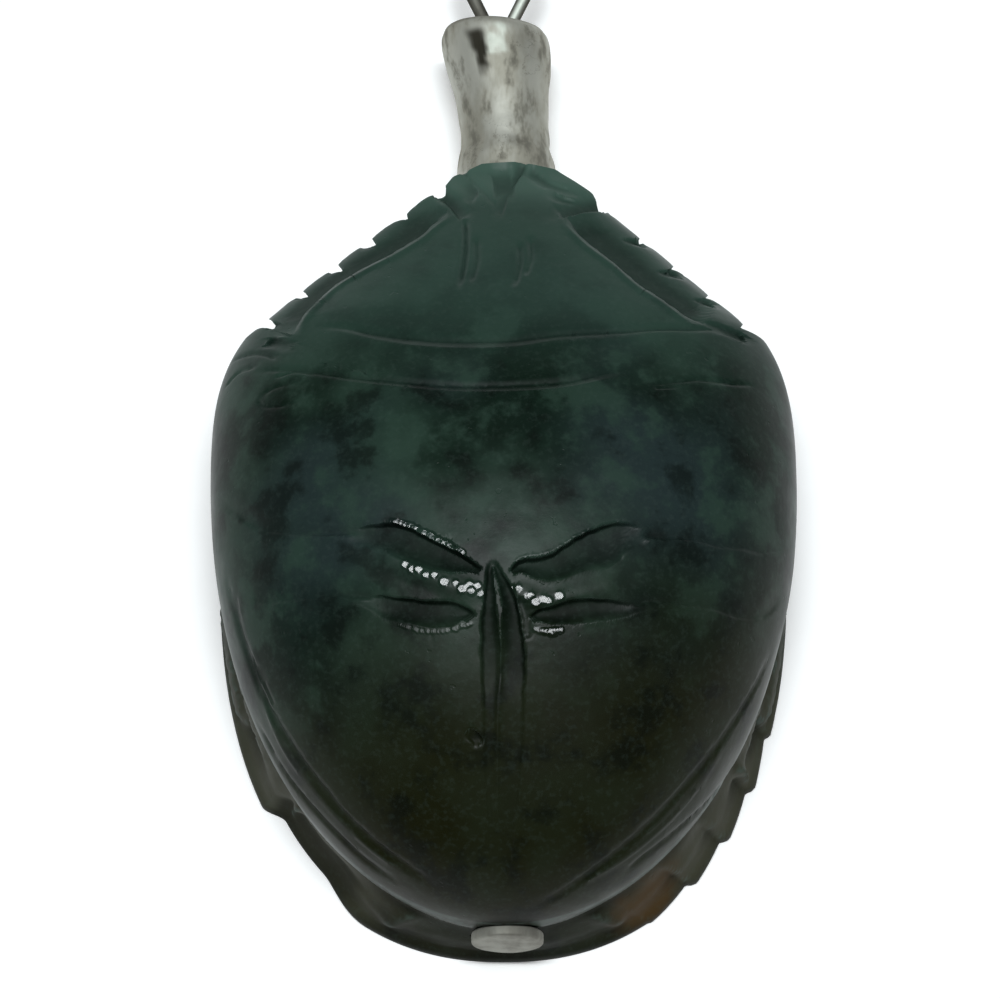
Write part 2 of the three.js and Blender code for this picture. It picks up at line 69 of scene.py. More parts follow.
def smooth_step(low: float, high: float, value: Array) -> Array:
    """Eases from 0 at low to 1 at high.

    Args:
        low: value where the rise starts.
        high: value where the rise ends.
        value: the values to ease.

    Returns:
        The eased shares.
    """
    t = np.clip((value - low) / (high - low), 0.0, 1.0)
    return t * t * (3.0 - 2.0 * t)


def through(points: Array, count: int) -> Array:
    """Draws a smooth curve through points and spaces samples evenly along it.

    Args:
        points: rows of coordinates.
        count: number of samples wanted.

    Returns:
        The samples, one row each.
    """
    padded = np.vstack([2 * points[0] - points[1], points, 2 * points[-1] - points[-2]])
    dense = []
    for i in range(1, len(padded) - 2):
        p0, p1, p2, p3 = padded[i - 1:i + 3]
        for t in np.linspace(0.0, 1.0, 24, endpoint=False):
            dense.append(0.5 * (2 * p1 + (p2 - p0) * t + (2 * p0 - 5 * p1 + 4 * p2 - p3) * t * t
                                + (3 * p1 - p0 - 3 * p2 + p3) * t ** 3))
    dense.append(padded[-2])
    dense = np.array(dense)
    run = np.concatenate([[0.0], np.cumsum(np.linalg.norm(np.diff(dense, axis=0), axis=1))])
    places = np.linspace(0.0, run[-1], count)
    return np.stack([np.interp(places, run, dense[:, k]) for k in range(dense.shape[1])], axis=1)


def fine_noise(points: Array, size: float, shift: float = 0.0) -> Array:
    """Returns smooth noise between about -1 and 1 over points.

    Args:
        points: rows of x, y, z in millimetres.
        size: size of one blotch in millimetres.
        shift: offset that gives another pattern.

    Returns:
        One value a point.
    """
    scaled = points / size + shift
    return np.array([noise.noise(Vector(p)) for p in scaled])


@dataclass(frozen=True)
class BeetleForm:
    """Form of the uncarved beetle: plan, dome of the back and height of the rim.

    Lengths are millimetres. Places on the back are shares: x of the half width and y of the half length.

    Attributes:
        half_width: half the stone's width.
        half_length: half the stone's length.
        height: height of the back at its crest.
        rim_tail: height of the rim at the tail.
        rim_side: height of the rim beside the shoulders.
        face: height of the mouth plate.
        widest: where the plan is widest, as a share.
        shoulder_reach: how far in front of that the plan would close if it had no head.
        shoulder: where the shoulders end and the cheeks begin.
        nose: where the cheeks end and the muzzle's rounding begins.
        nose_length: how long that rounding is.
        nose_width: half width of the muzzle.
        crest: where the back is highest.
        muzzle: where the back has come down to the mouth plate.
        front_power: how late the plan's front bends in.
        front_root: how full that bend is.
        dome_power: how full the back is from side to side.
    """

    half_width: float
    half_length: float
    height: float = 9.0
    rim_tail: float = 2.9
    rim_side: float = 3.9
    face: float = 4.1
    widest: float = 0.11
    shoulder_reach: float = 0.627
    shoulder: float = 0.49
    nose: float = 0.86
    nose_length: float = 0.14
    nose_width: float = 0.36
    crest: float = 0.045
    muzzle: float = 0.965
    front_power: float = 3.2
    front_root: float = 2.2
    dome_power: float = 2.4

    def half_plan(self, v: Array) -> Array:
        """Draws the plan's side: rim, shoulder, cheek and muzzle.

        Args:
            v: shares of the half length.

        Returns:
            The shares of the half width there.
        """
        rear = np.sqrt(np.clip(1 - ((self.widest - v) / (self.widest + 1)) ** 2, 0, None))
        bend = np.clip((v - self.widest) / self.shoulder_reach, 0, 1)
        front = np.clip(1 - bend ** self.front_power, 0, None) ** (1 / self.front_root)
        last_bend = (self.shoulder - self.widest) / self.shoulder_reach
        corner = (1 - last_bend ** self.front_power) ** (1 / self.front_root)
        along_cheek = np.clip((v - self.shoulder) / (self.nose - self.shoulder), 0, 1)
        cheek = mix(corner, self.nose_width, along_cheek)
        nose = self.nose_width * np.sqrt(np.clip(1 - ((v - self.nose) / self.nose_length) ** 2, 0, None))
        before_nose = np.where(v < self.shoulder, front, np.where(v < self.nose, cheek, nose))
        return np.where(v < self.widest, rear, before_nose)

    def rim(self, v: Array) -> Array:
        """Returns the height of the rim at share v of the length."""
        return mix(self.rim_tail, self.rim_side, np.clip((v + 1) / 1.125, 0, 1))

    def ridge(self, v: Array) -> Array:
        """Returns the height of the back above its middle line at share v, with its crest rounded."""
        rounded = sum(self.crown(v + step) for step in (-0.14, -0.07, 0.0, 0.07, 0.14)) / 5
        return mix(self.crown(v), rounded, np.exp(-((v - self.crest) / 0.2) ** 2))

    def crown(self, v: Array) -> Array:
        """Draws the back along its middle line before the crest is rounded.

        Args:
            v: shares of the half length.

        Returns:
            The heights there in millimetres.
        """
        t = np.clip((self.crest - v) / (self.crest + 1), 0, 1)
        behind = mix(self.rim_tail, self.height, np.sqrt(1 - t * t))
        fall = np.clip((v - self.crest) / (self.muzzle - self.crest), 0, 1) ** 1.35
        return np.where(v < self.crest, behind, mix(self.height, self.face, fall))

    def surface(self, plan: Array) -> Array:
        """Lifts points in plan to the back.

        Args:
            plan: rows of x, y in millimetres.

        Returns:
            Rows of x, y, z in millimetres.
        """
        v = plan[:, 1] / self.half_length
        across = np.abs(plan[:, 0]) / self.half_width / np.maximum(self.half_plan(v), 1e-4)
        ridge = self.ridge(v)
        edge = np.minimum(self.rim(v), ridge)
        lift = np.sqrt(1 - np.clip(across, 0, 1) ** self.dome_power)
        return np.column_stack([plan, mix(edge, ridge, lift)])

    def normal(self, plan: Array) -> Array:
        """Works out which way the back faces.

        Args:
            plan: rows of x, y in millimetres.

        Returns:
            The unit normals there, one row each.
        """
        step = 0.04
        slopes = []
        for axis in ((step, 0.0), (0.0, step)):
            ahead = self.surface(plan + axis)[:, 2]
            behind = self.surface(plan - axis)[:, 2]
            slopes.append((ahead - behind) / (2 * step))
        vectors = np.column_stack([-slopes[0], -slopes[1], np.ones(len(plan))])
        return vectors / np.linalg.norm(vectors, axis=1)[:, None]

    def on_back(self, shares: list[Share]) -> Array:
        """Returns points on the back, in millimetres, from shares of its half width and half length."""
        return self.surface(np.array(shares) * (self.half_width, self.half_length))


class Cut(Enum):
    """Cross-section that the engraver's wheel leaves."""

    VEE = "vee"
    TROUGH = "trough"
    LEAF = "leaf"
    STEP = "step"
    SWELL = "swell"


class Taper(Enum):
    """How a cut's depth runs from its start to its end."""

    ENDS = "ends"
    FADE = "fade"
    LENS = "lens"
    OPEN = "open"
    SEAM = "seam"

    def at(self, t: Array) -> Array:
        """Works out how deep the cut is along its line.

        Args:
            t: shares of the way along the cut.

        Returns:
            The shares of the full depth there.
        """
        to_end = np.minimum(t, 1 - t)
        if self is Taper.ENDS:
            return np.clip(7 * to_end, 0, 1) ** 0.8
        if self is Taper.FADE:
            return (1 - 0.7 * t) * np.clip(12 * to_end + 0.3, 0, 1)
        if self is Taper.OPEN:
            return smooth_step(0.0, 0.42, t) * np.clip((1 - t) / 0.06, 0, 1) ** 0.6
        if self is Taper.SEAM:
            fading = mix(1.0, 0.25, smooth_step(0.18, 0.5, t))
            return np.clip(t / 0.1, 0, 1) * fading * np.clip((1 - t) / 0.1, 0, 1)
        return np.sin(math.pi * np.clip(t, 0, 1)) ** 0.8


@dataclass
class Stroke:
    """One pass of the engraver's wheel along a line on the back.

    Attributes:
        line: places as shares of the back.
        width: full width in millimetres.
        depth: depth in millimetres, below zero where the stone stands up instead.
        cut: the cross-section.
        taper: how the depth runs along the line.
        side: 1 where the steep or lowered side lies left of the line's direction, -1 where it lies right.
        widths: widths at even steps along the line as shares of width, or None for an even width.
        fullness: how full a leaf's floor stays before it rises to its far lip.
    """

    line: list[Share]
    width: float
    depth: float
    cut: Cut = Cut.VEE
    taper: Taper = Taper.ENDS
    side: int = 1
    widths: tuple[float, ...] | None = None
    fullness: float = 1.6

    def press(self, points: Array, form: BeetleForm, chips: Array) -> tuple[Array, Array]:
        """Works out how deep this stroke goes under points of the back.

        Args:
            points: rows of x, y, z in millimetres.
            form: the beetle's form.
            chips: how far each point's place is off towards a chipped lip, in millimetres.

        Returns:
            The indices of the points it reaches, and the depth at each in millimetres.
        """
        rough = form.on_back(self.line)
        length = np.linalg.norm(np.diff(rough, axis=0), axis=1).sum()
        path = form.surface(through(rough[:, :2], max(12, int(length / 0.05))))
        reach = self.width * (1.0 if self.cut in (Cut.LEAF, Cut.STEP) else 0.5)
        near = np.all((points > path.min(0) - reach) & (points < path.max(0) + reach), axis=1)
        index = np.flatnonzero(near)
        if not len(index):
            return index, np.zeros(0)
        tangent = np.gradient(path, axis=0)
        tangent /= np.linalg.norm(tangent, axis=1)[:, None]
        left = np.cross(form.normal(path[:, :2]), tangent)
        nearest = np.concatenate([
            ((chunk[:, None, :] - path[None]) ** 2).sum(2).argmin(1)
            for chunk in np.array_split(points[index], max(1, len(index) * len(path) // 2_000_000))])
        offset = points[index] - path[nearest]
        distance = np.linalg.norm(offset, axis=1)
        aside = (offset * left[nearest]).sum(1) * self.side
        inside = (nearest > 0) & (nearest < len(path) - 1)
        distance = np.where(inside, np.abs(aside), distance)
        if self.cut in (Cut.LEAF, Cut.STEP):
            aside = np.sign(aside) * distance + chips[index]
            distance = np.abs(aside)
        t = nearest / (len(path) - 1)
        wide = self.width * np.ones_like(t)
        if self.widths:
            wide = self.width * np.interp(t, np.linspace(0, 1, len(self.widths)), self.widths)
        return index, self.depth * self.taper.at(t) * self.section(distance, aside, wide)

    def section(self, distance: Array, aside: Array, wide: Array) -> Array:
        """Returns the share of the depth across the cut.

        Args:
            distance: distance from the line.
            aside: signed distance towards the steep or lowered side.
            wide: full width there.

        Returns:
            Shares from 0 to 1.
        """
        share = np.clip(distance / (wide / 2), 0, 1)
        if self.cut is Cut.VEE:
            return (1 - share) ** 1.25
        if self.cut is Cut.TROUGH:
            return 1 - smooth_step(0.55, 1.0, share)
        if self.cut is Cut.SWELL:
            return 0.5 + 0.5 * np.cos(math.pi * share)
        signed = np.sign(aside) * distance
        if self.cut is Cut.LEAF:
            steep = 1 - smooth_step(0.0, 0.1, signed)
            floor = 1 - np.clip(-signed / wide, 0, 1) ** self.fullness
            return np.where(signed > 0, steep, floor)
        lowered = smooth_step(-0.03, 0.13, signed)
        return lowered * (1 - smooth_step(0.3, 1.0, np.clip(signed / wide, 0, 1)))


def foreleg(form: BeetleForm, side: int, start: Share, end: Share, teeth: int, notch: float) -> list[Share]:
    """Lays out the teeth of a foreleg along the slanting side of the head.

    Args:
        form: the beetle's form.
        side: 1 on the right, -1 on the left.
        start: place beside the mouth plate.
        end: place at the shoulder.
        teeth: number of teeth.
        notch: depth of the notches in millimetres.

    Returns:
        Corners of the outline, from the mouth plate to the shoulder.
    """
    along = np.array(end) - start
    run = along * (form.half_width, form.half_length)
    length = math.hypot(*run)
    outward = np.array([-side * run[1], side * run[0]]) / length
    corners = []
    for i in range(teeth):
        # The first notch, at the corner of the mouth, is half as deep.
        bottom = -notch * (0.5 if i == 0 else 1.0)
        for share, swell in (*TOOTH, (NOTCH_SHARE, bottom)):
            place = np.array(start) + along * (i + share) / teeth
            corners.append(tuple(place + outward * swell / (form.half_width, form.half_length)))
    return corners


@dataclass(frozen=True)
class Flat:
    """A small flat that handling has rubbed bright, tipped a little towards the tail.

    Attributes:
        x: share of the half width.
        y: share of the half length.
        radius: radius in millimetres.
        polish: how bright it is rubbed, from 0 to 1.
    """

    x: float
    y: float
    radius: float
    polish: float


@dataclass
class Carving:
    """Everything cut into the back, as strokes.

    Attributes:
        form: the beetle's form.
        wing_left: line of the left wing leaf, from its tip to the seam.
        wing_right: the same on the right.
        waist_left: line of the leaf below it, from its tip to the seam.
        waist_right: the same on the right.
        seam_left: left line of the seam between the wing cases, from the wings to the tail.
        seam_right: its right line.
    """

    form: BeetleForm
    wing_left: list[Share] = field(default_factory=lambda: [
        (-0.56, -0.146), (-0.478, -0.145), (-0.418, -0.143), (-0.366, -0.143), (-0.3, -0.162),
        (-0.244, -0.185), (-0.195, -0.203), (-0.133, -0.229), (-0.074, -0.262)])
    wing_right: list[Share] = field(default_factory=lambda: [
        (0.5, -0.154), (0.45, -0.146), (0.4, -0.14), (0.347, -0.146), (0.272, -0.172), (0.219, -0.196),
        (0.167, -0.222), (0.128, -0.234), (0.076, -0.239), (0.043, -0.248), (0.022, -0.266)])
    waist_left: list[Share] = field(default_factory=lambda: [
        (-0.5, -0.302), (-0.43, -0.314), (-0.371, -0.322), (-0.309, -0.328), (-0.247, -0.337),
        (-0.175, -0.341), (-0.123, -0.353), (-0.098, -0.372)])
    waist_right: list[Share] = field(default_factory=lambda: [
        (0.47, -0.322), (0.395, -0.33), (0.33, -0.328), (0.274, -0.33), (0.219, -0.336), (0.166, -0.348),
        (0.114, -0.36), (0.086, -0.376)])
    seam_left: list[Share] = field(default_factory=lambda: [
        (-0.038, -0.233), (-0.045, -0.252), (-0.051, -0.297), (-0.057, -0.335), (-0.064, -0.385),
        (-0.065, -0.444), (-0.061, -0.559), (-0.055, -0.69), (-0.042, -0.836), (-0.022, -0.967)])
    seam_right: list[Share] = field(default_factory=lambda: [
        (-0.038, -0.233), (-0.019, -0.259), (0.007, -0.293), (0.027, -0.323), (0.04, -0.356), (0.049, -0.4),
        (0.059, -0.444), (0.059, -0.559), (0.049, -0.691), (0.03, -0.836), (0.007, -0.96)])

    def margin(self, side: int, inset: float, start: float, end: float) -> list[Share]:
        """Draws the line inside the rim of the wing cases, from beside the waist to the tail.

        Args:
            side: 1 on the right, -1 on the left.
            inset: how far inside the rim it runs, as a share.
            start: angle from the tail where it starts, in radians.
            end: angle where it ends.

        Returns:
            The line's places.
        """
        places = []
        for share in np.linspace(0.0, 1.0, 11):
            angle = mix(start, end, share)
            scale = 1 - inset * (0.25 + 0.75 * math.sin(math.pi * share))
            widest = self.form.widest
            places.append((side * math.sin(angle) * scale, widest - (1 + widest) * math.cos(angle) * scale))
        return places

    def neck(self) -> list[Stroke]:
        """Draws the lines across the shield between the head and the wing cases.

        Returns:
            The strokes: two long lines with a faint swell below each, and short marks at the sides.
        """
        neck = [(-0.64, 0.445), (-0.53, 0.427), (-0.44, 0.402), (-0.32, 0.38), (-0.18, 0.367), (0.02, 0.368),
                (0.17, 0.386), (0.39, 0.407), (0.5, 0.423), (0.67, 0.445), (0.83, 0.472)]
        below = [(x, y - 0.027) for x, y in neck[2:9]]
        shield = [(-0.85, 0.342), (-0.66, 0.307), (-0.47, 0.265), (-0.205, 0.229), (0, 0.225), (0.21, 0.242),
                  (0.405, 0.286)]
        shield_below = [(x, y - 0.022) for x, y in shield[1:]]
        right = [(0.49, 0.242), (0.57, 0.262), (0.66, 0.281), (0.76, 0.288), (0.85, 0.303)]
        strokes = [
            Stroke(neck, 0.5, 0.085, widths=(0.6, 1.0, 1.1, 0.8, 0.6, 0.5)),
            Stroke(below, 0.24, -0.02, Cut.SWELL),
            Stroke(shield, 0.46, 0.09, widths=(0.5, 0.7, 0.9, 1.0, 0.9)),
            Stroke(shield_below, 0.24, -0.02, Cut.SWELL),
            Stroke(right, 0.22, 0.06),
            Stroke([(0.5, 0.235), (0.6, 0.25)], 0.16, 0.05),
        ]
        for i in range(7):
            x = -0.6 + 0.045 * i
            y = 0.305 - 0.012 * i
            strokes.append(Stroke([(x, y + 0.02), (x + 0.006, y - 0.014)], 0.14, 0.045))
        return strokes

    def head(self) -> list[Stroke]:
        """Draws the cheeks, the forehead lines and the facets of the mouth plate.

        Returns:
            The strokes.
        """
        left = [(-0.178, 0.82), (-0.235, 0.78), (-0.294, 0.73), (-0.383, 0.68), (-0.484, 0.636),
                (-0.575, 0.589), (-0.642, 0.532), (-0.684, 0.483), (-0.7, 0.43)]
        right = [(0.205, 0.8), (0.289, 0.709), (0.38, 0.642), (0.457, 0.576), (0.538, 0.529), (0.614, 0.48),
                 (0.682, 0.451)]
        strokes = [
            Stroke(left, 1.5, 0.15, Cut.STEP, Taper.ENDS, side=-1),
            Stroke(right, 1.7, 0.17, Cut.STEP, Taper.ENDS, side=1),
            Stroke([(x + 0.012, y - 0.012) for x, y in left], 0.3, -0.05, Cut.SWELL),
            Stroke([(x - 0.012, y - 0.012) for x, y in right], 0.3, -0.05, Cut.SWELL),
            Stroke([(0.4, 0.872), (0.34, 0.85), (0.27, 0.83), (0.2, 0.8)], 0.6, 0.24, Cut.LEAF, Taper.FADE),
            Stroke([(-0.25, 0.9), (-0.2, 0.862), (-0.165, 0.82), (-0.15, 0.79)], 0.4, 0.22, Cut.LEAF,
                   Taper.FADE, side=-1),
        ]
        for x, top, bottom, depth in ((-0.137, 0.8, 0.545, 0.1), (-0.098, 0.72, 0.56, 0.08),
                                      (0.05, 0.7, 0.545, 0.07), (0.088, 0.72, 0.58, 0.06)):
            strokes.append(Stroke([(x + 0.004, top), (x + 0.006, mix(top, bottom, 0.5)), (x - 0.014, bottom)],
                                  0.3, depth))
        strokes += [
            Stroke([(-0.16, 0.99), (-0.075, 0.9), (-0.006, 0.81)], 0.3, 0.1, Cut.VEE, Taper.FADE),
            Stroke([(0.08, 0.99), (0.02, 0.9), (-0.012, 0.8)], 0.28, 0.16, Cut.LEAF, Taper.FADE, side=1),
            Stroke([(-0.02, 0.985), (0.0, 0.93), (0.0, 0.86)], 0.7, 0.12, Cut.TROUGH, Taper.LENS),
            Stroke([(-0.13, 0.96), (-0.1, 0.9), (-0.11, 0.85)], 0.4, 0.1, Cut.LEAF, Taper.LENS, side=1),
            Stroke([(0.1, 0.98), (0.16, 0.93), (0.25, 0.9), (0.33, 0.885)], 0.4, 0.12, Cut.LEAF, Taper.FADE),
            Stroke([(0.14, 0.9), (0.22, 0.87), (0.31, 0.855)], 0.35, 0.08, Cut.LEAF, Taper.LENS),
        ]
        return strokes

    def foreleg_scales(self) -> list[Stroke]:
        """Draws the short cuts that run inwards from each notch of the forelegs.

        Returns:
            The strokes.
        """
        ends = [((0.481, 0.748), (0.37, 0.742)), ((0.6, 0.652), (0.45, 0.63)), ((0.71, 0.56), (0.585, 0.555)),
                ((0.82, 0.46), (0.68, 0.47)),
                ((-0.47, 0.75), (-0.43, 0.712)),
                ((-0.585, 0.675), (-0.545, 0.642)), ((-0.7, 0.6), (-0.645, 0.57)),
                ((-0.79, 0.5), (-0.715, 0.465)), ((-0.8, 0.44), (-0.7, 0.4))]
        return [Stroke([a, b], 0.38, 0.14, Cut.LEAF, Taper.FADE, side=-1 if a[0] > 0 else 1)
                for a, b in ends]

    def shoulders(self) -> list[Stroke]:
        """Draws the marks of the shoulders: a small oval on the left and strokes beside it.

        Returns:
            The strokes.
        """
        oval = [(-0.635 + 0.085 * math.cos(a) - 0.1, 0.245 + 0.03 * math.sin(a))
                for a in np.linspace(0.4, 5.6, 12)]
        return [
            Stroke(oval, 0.2, 0.03),
            Stroke([(-0.77, 0.305), (-0.7, 0.31), (-0.62, 0.29)], 0.2, 0.07),
            Stroke([(-0.93, 0.42), (-0.84, 0.4), (-0.76, 0.36)], 0.24, 0.06),
            Stroke([(-0.95, 0.34), (-0.9, 0.36), (-0.84, 0.355)], 0.2, 0.05),
        ]

    def wings(self) -> list[Stroke]:
        """Draws the wing and waist lines, the seam and the rim channel of the wing cases.

        Returns:
            The strokes.
        """
        thin = [
            [(-0.45, -0.153), (-0.527, -0.15), (-0.638, -0.14), (-0.75, -0.116), (-0.812, -0.093),
             (-0.877, -0.048), (-0.95, 0.01)],
            [(-0.42, -0.315), (-0.523, -0.299), (-0.643, -0.29), (-0.748, -0.281), (-0.843, -0.264)],
            [(0.45, -0.158), (0.512, -0.162), (0.602, -0.153), (0.683, -0.158), (0.765, -0.151),
             (0.86, -0.138), (0.949, -0.095)],
            [(0.42, -0.33), (0.52, -0.314), (0.644, -0.308), (0.729, -0.308), (0.785, -0.309), (0.87, -0.28),
             (0.93, -0.22)],
        ]
        strokes = [Stroke(line, 0.42, 0.09, Cut.LEAF, Taper.FADE, side=1 if line[0][0] < 0 else -1)
                   for line in thin]
        ridges = [
            [(-0.34, -0.17), (-0.431, -0.166), (-0.527, -0.16), (-0.638, -0.152)],
            [(-0.338, -0.338), (-0.49, -0.325), (-0.663, -0.308)],
            [(0.45, -0.172), (0.53, -0.172), (0.61, -0.165)],
            [(0.248, -0.379), (0.3, -0.37), (0.385, -0.358), (0.511, -0.336), (0.611, -0.325),
             (0.671, -0.323)],
        ]
        strokes += [Stroke(line, 0.4, -0.04, Cut.SWELL) for line in ridges]
        leaves = [
            (self.wing_left, 1, 0.78, 0.28, (0.3, 0.6, 0.85, 1.0, 1.0, 0.9, 0.62, 0.12), 3.0),
            (self.wing_right, -1, 1.0, 0.28, (0.3, 0.7, 0.95, 1.0, 0.8, 0.64, 0.42, 0.1), 2.5),
            (self.waist_left, 1, 0.6, 0.19, (0.3, 0.6, 0.9, 1.0, 1.0, 0.95, 0.3), 3.0),
            (self.waist_right, -1, 0.56, 0.19, (0.3, 0.6, 0.9, 1.0, 0.95, 0.7, 0.25), 3.0),
        ]
        for line, side, width, depth, widths, fullness in leaves:
            strokes.append(Stroke(line, width, depth, Cut.LEAF, Taper.OPEN, side, widths, fullness))
        band_left = [(-0.42, -0.215), (-0.337, -0.236), (-0.281, -0.258), (-0.216, -0.278), (-0.164, -0.298),
                     (-0.1, -0.31), (-0.065, -0.32)]
        band_right = [(0.02, -0.3), (0.077, -0.32), (0.13, -0.33), (0.206, -0.318), (0.3, -0.3), (0.4, -0.28)]
        strokes += [
            Stroke(band_left, 0.9, -0.045, Cut.SWELL),
            Stroke(band_right, 0.8, -0.04, Cut.SWELL),
            Stroke(self.seam_left, 0.55, 0.17, Cut.LEAF, Taper.SEAM, -1,
                   (0.05, 0.45, 0.8, 0.85, 0.7, 0.55, 0.45, 0.3, 0.15), 5.0),
            Stroke(self.seam_right, 0.7, 0.22, Cut.LEAF, Taper.SEAM, 1,
                   (0.05, 0.4, 0.7, 0.9, 1.0, 1.0, 0.95, 0.75, 0.4), 3.0),
            Stroke([(-0.012, -0.342), (-0.012, -0.446), (-0.02, -0.559), (-0.024, -0.691), (-0.027, -0.895)],
                   0.2, -0.04, Cut.SWELL),
            Stroke([(0.05, -0.323), (0.068, -0.365), (0.08, -0.423)], 0.5, 0.05),
            Stroke([(-0.12, -0.628), (-0.09, -0.645), (-0.075, -0.66)], 0.35, 0.1, Cut.TROUGH, Taper.LENS),
            Stroke([(-0.93, -0.16), (-0.866, -0.333), (-0.79, -0.48), (-0.7, -0.598), (-0.59, -0.71),
                    (-0.5, -0.785), (-0.384, -0.858), (-0.197, -0.945)], 0.3, 0.07, Cut.LEAF, side=1),
            Stroke([(-0.837, -0.344), (-0.804, -0.467), (-0.725, -0.605), (-0.58, -0.745), (-0.44, -0.845),
                    (-0.276, -0.93)], 0.3, -0.035, Cut.SWELL),
            Stroke([(-0.83, -0.5), (-0.735, -0.63), (-0.615, -0.745), (-0.475, -0.85), (-0.343, -0.918)],
                   0.4, 0.08),
            Stroke(self.margin(1, 0.055, 1.15, 0.08), 0.34, 0.05, Cut.TROUGH),
            Stroke([(0.74, -0.58), (0.643, -0.692), (0.519, -0.795), (0.36, -0.886), (0.175, -0.953)],
                   0.28, -0.035, Cut.SWELL),
            Stroke([(0.78, -0.59), (0.68, -0.7), (0.55, -0.8), (0.39, -0.895)], 0.4, 0.06),
            Stroke([(-0.9, -0.2), (-0.87, -0.32), (-0.8, -0.44), (-0.74, -0.54)], 0.24, 0.05),
            Stroke([(0.86, -0.5), (0.8, -0.58), (0.72, -0.66)], 0.22, 0.04),
        ]
        return strokes

    def flats(self) -> list[Flat]:
        """Lays out the rubbed flats: pearls between the wing and waist leaves, and worn lips of the cuts.

        Returns:
            The flats.
        """
        rng = np.random.default_rng(7)
        pearls = [(-0.321, -0.241), (-0.297, -0.254), (-0.277, -0.254), (-0.255, -0.269), (-0.227, -0.269),
                  (-0.195, -0.287), (-0.157, -0.29), (-0.136, -0.305), (-0.112, -0.296), (-0.105, -0.311),
                  (-0.085, -0.297), (-0.076, -0.317), (0.026, -0.304), (0.048, -0.304), (0.077, -0.325),
                  (0.088, -0.322), (0.103, -0.337), (0.129, -0.33), (0.144, -0.333), (0.181, -0.321)]
        flats = [Flat(x, y, rng.uniform(0.09, 0.13), 1.0) for x, y in pearls]
        lips = [
            ([(x, y + 0.0135) for x, y in self.wing_left[3:-1]], 0.95, 0.085),
            ([(x, y + 0.0135) for x, y in self.wing_right[4:-1]], 0.3, 0.04),
            ([(-0.34, -0.382), (-0.283, -0.396), (-0.227, -0.402), (-0.168, -0.398), (-0.107, -0.386)],
             0.35, 0.06),
            ([(0.103, -0.398), (0.14, -0.404), (0.186, -0.4)], 0.9, 0.09),
        ]
        for line, strength, radius in lips:
            rough = self.form.on_back(line)
            length = np.linalg.norm(np.diff(rough, axis=0), axis=1).sum()
            for x, y in through(np.array(line), int(length / 0.055)):
                flats.append(Flat(x, y + rng.normal(0, 0.001), radius * rng.uniform(0.7, 1.2),
                                  strength * rng.uniform(0.6, 1.1)))
        return flats

    def wear(self) -> list[Stroke]:
        """Draws fine scratches from handling.

        Returns:
            The strokes.
        """
        rng = np.random.default_rng(41)
        strokes = []
        for _ in range(12):
            x, y = rng.uniform(-0.7, 0.7), rng.uniform(-0.85, 0.1)
            dx, dy = rng.normal(0, 0.06), rng.normal(0, 0.04)
            strokes.append(Stroke([(x, y), (x + dx / 2 + 0.004, y + dy / 2), (x + dx, y + dy)], 0.18, 0.006))
        return strokes

    def depth(self, points: Array) -> Array:
        """Works out the depth of all the carving.

        Args:
            points: rows of x, y, z in millimetres, on the uncarved back.

        Returns:
            The depth under each point in millimetres: the deepest cut less what stands up.
        """
        deepest = np.zeros(len(points))
        raised = np.zeros(len(points))
        chips = fine_noise(points, 0.3, 13.0) * 0.03 + fine_noise(points, 0.8, 21.0) * 0.03
        strokes = (self.neck() + self.head() + self.foreleg_scales() + self.shoulders() + self.wings()
                   + self.wear())
        for stroke in strokes:
            index, depth = stroke.press(points, self.form, chips)
            deepest[index] = np.maximum(deepest[index], depth)
            raised[index] = np.minimum(raised[index], depth)
        LOG.info("carved %d strokes", len(strokes))
        return deepest + raised * (1 - np.clip(deepest / 0.05, 0, 1) * 0.6)


@dataclass(frozen=True)
class Paint:
    """Helper that adds shader nodes to a material's tree.

    Attributes:
        material: the material that it fills.
    """

    material: bpy.types.Material

    def add(self, kind: str, sockets: dict | None = None, output: str | int = 0,
            **settings: object) -> bpy.types.NodeSocket:
        """Adds one node.

        Args:
            kind: the node's type.
            sockets: values, or output sockets to link, by input name or index.
            output: name or index of the output that is wanted.
            settings: the node's own properties.

        Returns:
            The new node's output.
        """
        tree = self.material.node_tree
        node = tree.nodes.new(kind)
        for name, value in settings.items():
            setattr(node, name, value)
        self.fill(node, sockets or {})
        return node.outputs[output]

    def fill(self, node: bpy.types.Node, sockets: dict) -> None:
        """Sets or links a node's inputs.

        Args:
            node: the node.
            sockets: values, or output sockets to link, by input name or index.
        """
        for name, value in sockets.items():
            if isinstance(value, bpy.types.NodeSocket):
                self.material.node_tree.links.new(value, node.inputs[name])
            else:
                node.inputs[name].default_value = value

    def finish(self, sockets: dict) -> bpy.types.Material:
        """Fills the surface shader.

        Args:
            sockets: values, or output sockets to link, by the shader's input names.

        Returns:
            The finished material.
        """
        shader = next(node for node in self.material.node_tree.nodes if node.type == "BSDF_PRINCIPLED")
        self.fill(shader, sockets)
        return self.material


def colour(code: str) -> tuple[float, float, float, float]:
    """Turns a screen colour into the linear colour of a shader.

    Args:
        code: six hexadecimal digits such as 2b3a33.

    Returns:
        Red, green, blue and alpha, linear.
    """
    channels = [int(code[i:i + 2], 16) / 255 for i in (0, 2, 4)]
    linear = [c / 12.92 if c <= 0.04045 else ((c + 0.055) / 1.055) ** 2.4 for c in channels]
    return (*linear, 1.0)


def blotches(size: float) -> float:
    """Returns the texture scale that makes blotches of a size in millimetres."""
    return 1 / (size * MM)


def new_paint(name: str) -> Paint:
    """Makes a material with nodes.

    Args:
        name: the material's name.

    Returns:
        The helper that fills it.
    """
    material = bpy.data.materials.new(name)
    material.use_nodes = True
    return Paint(material)


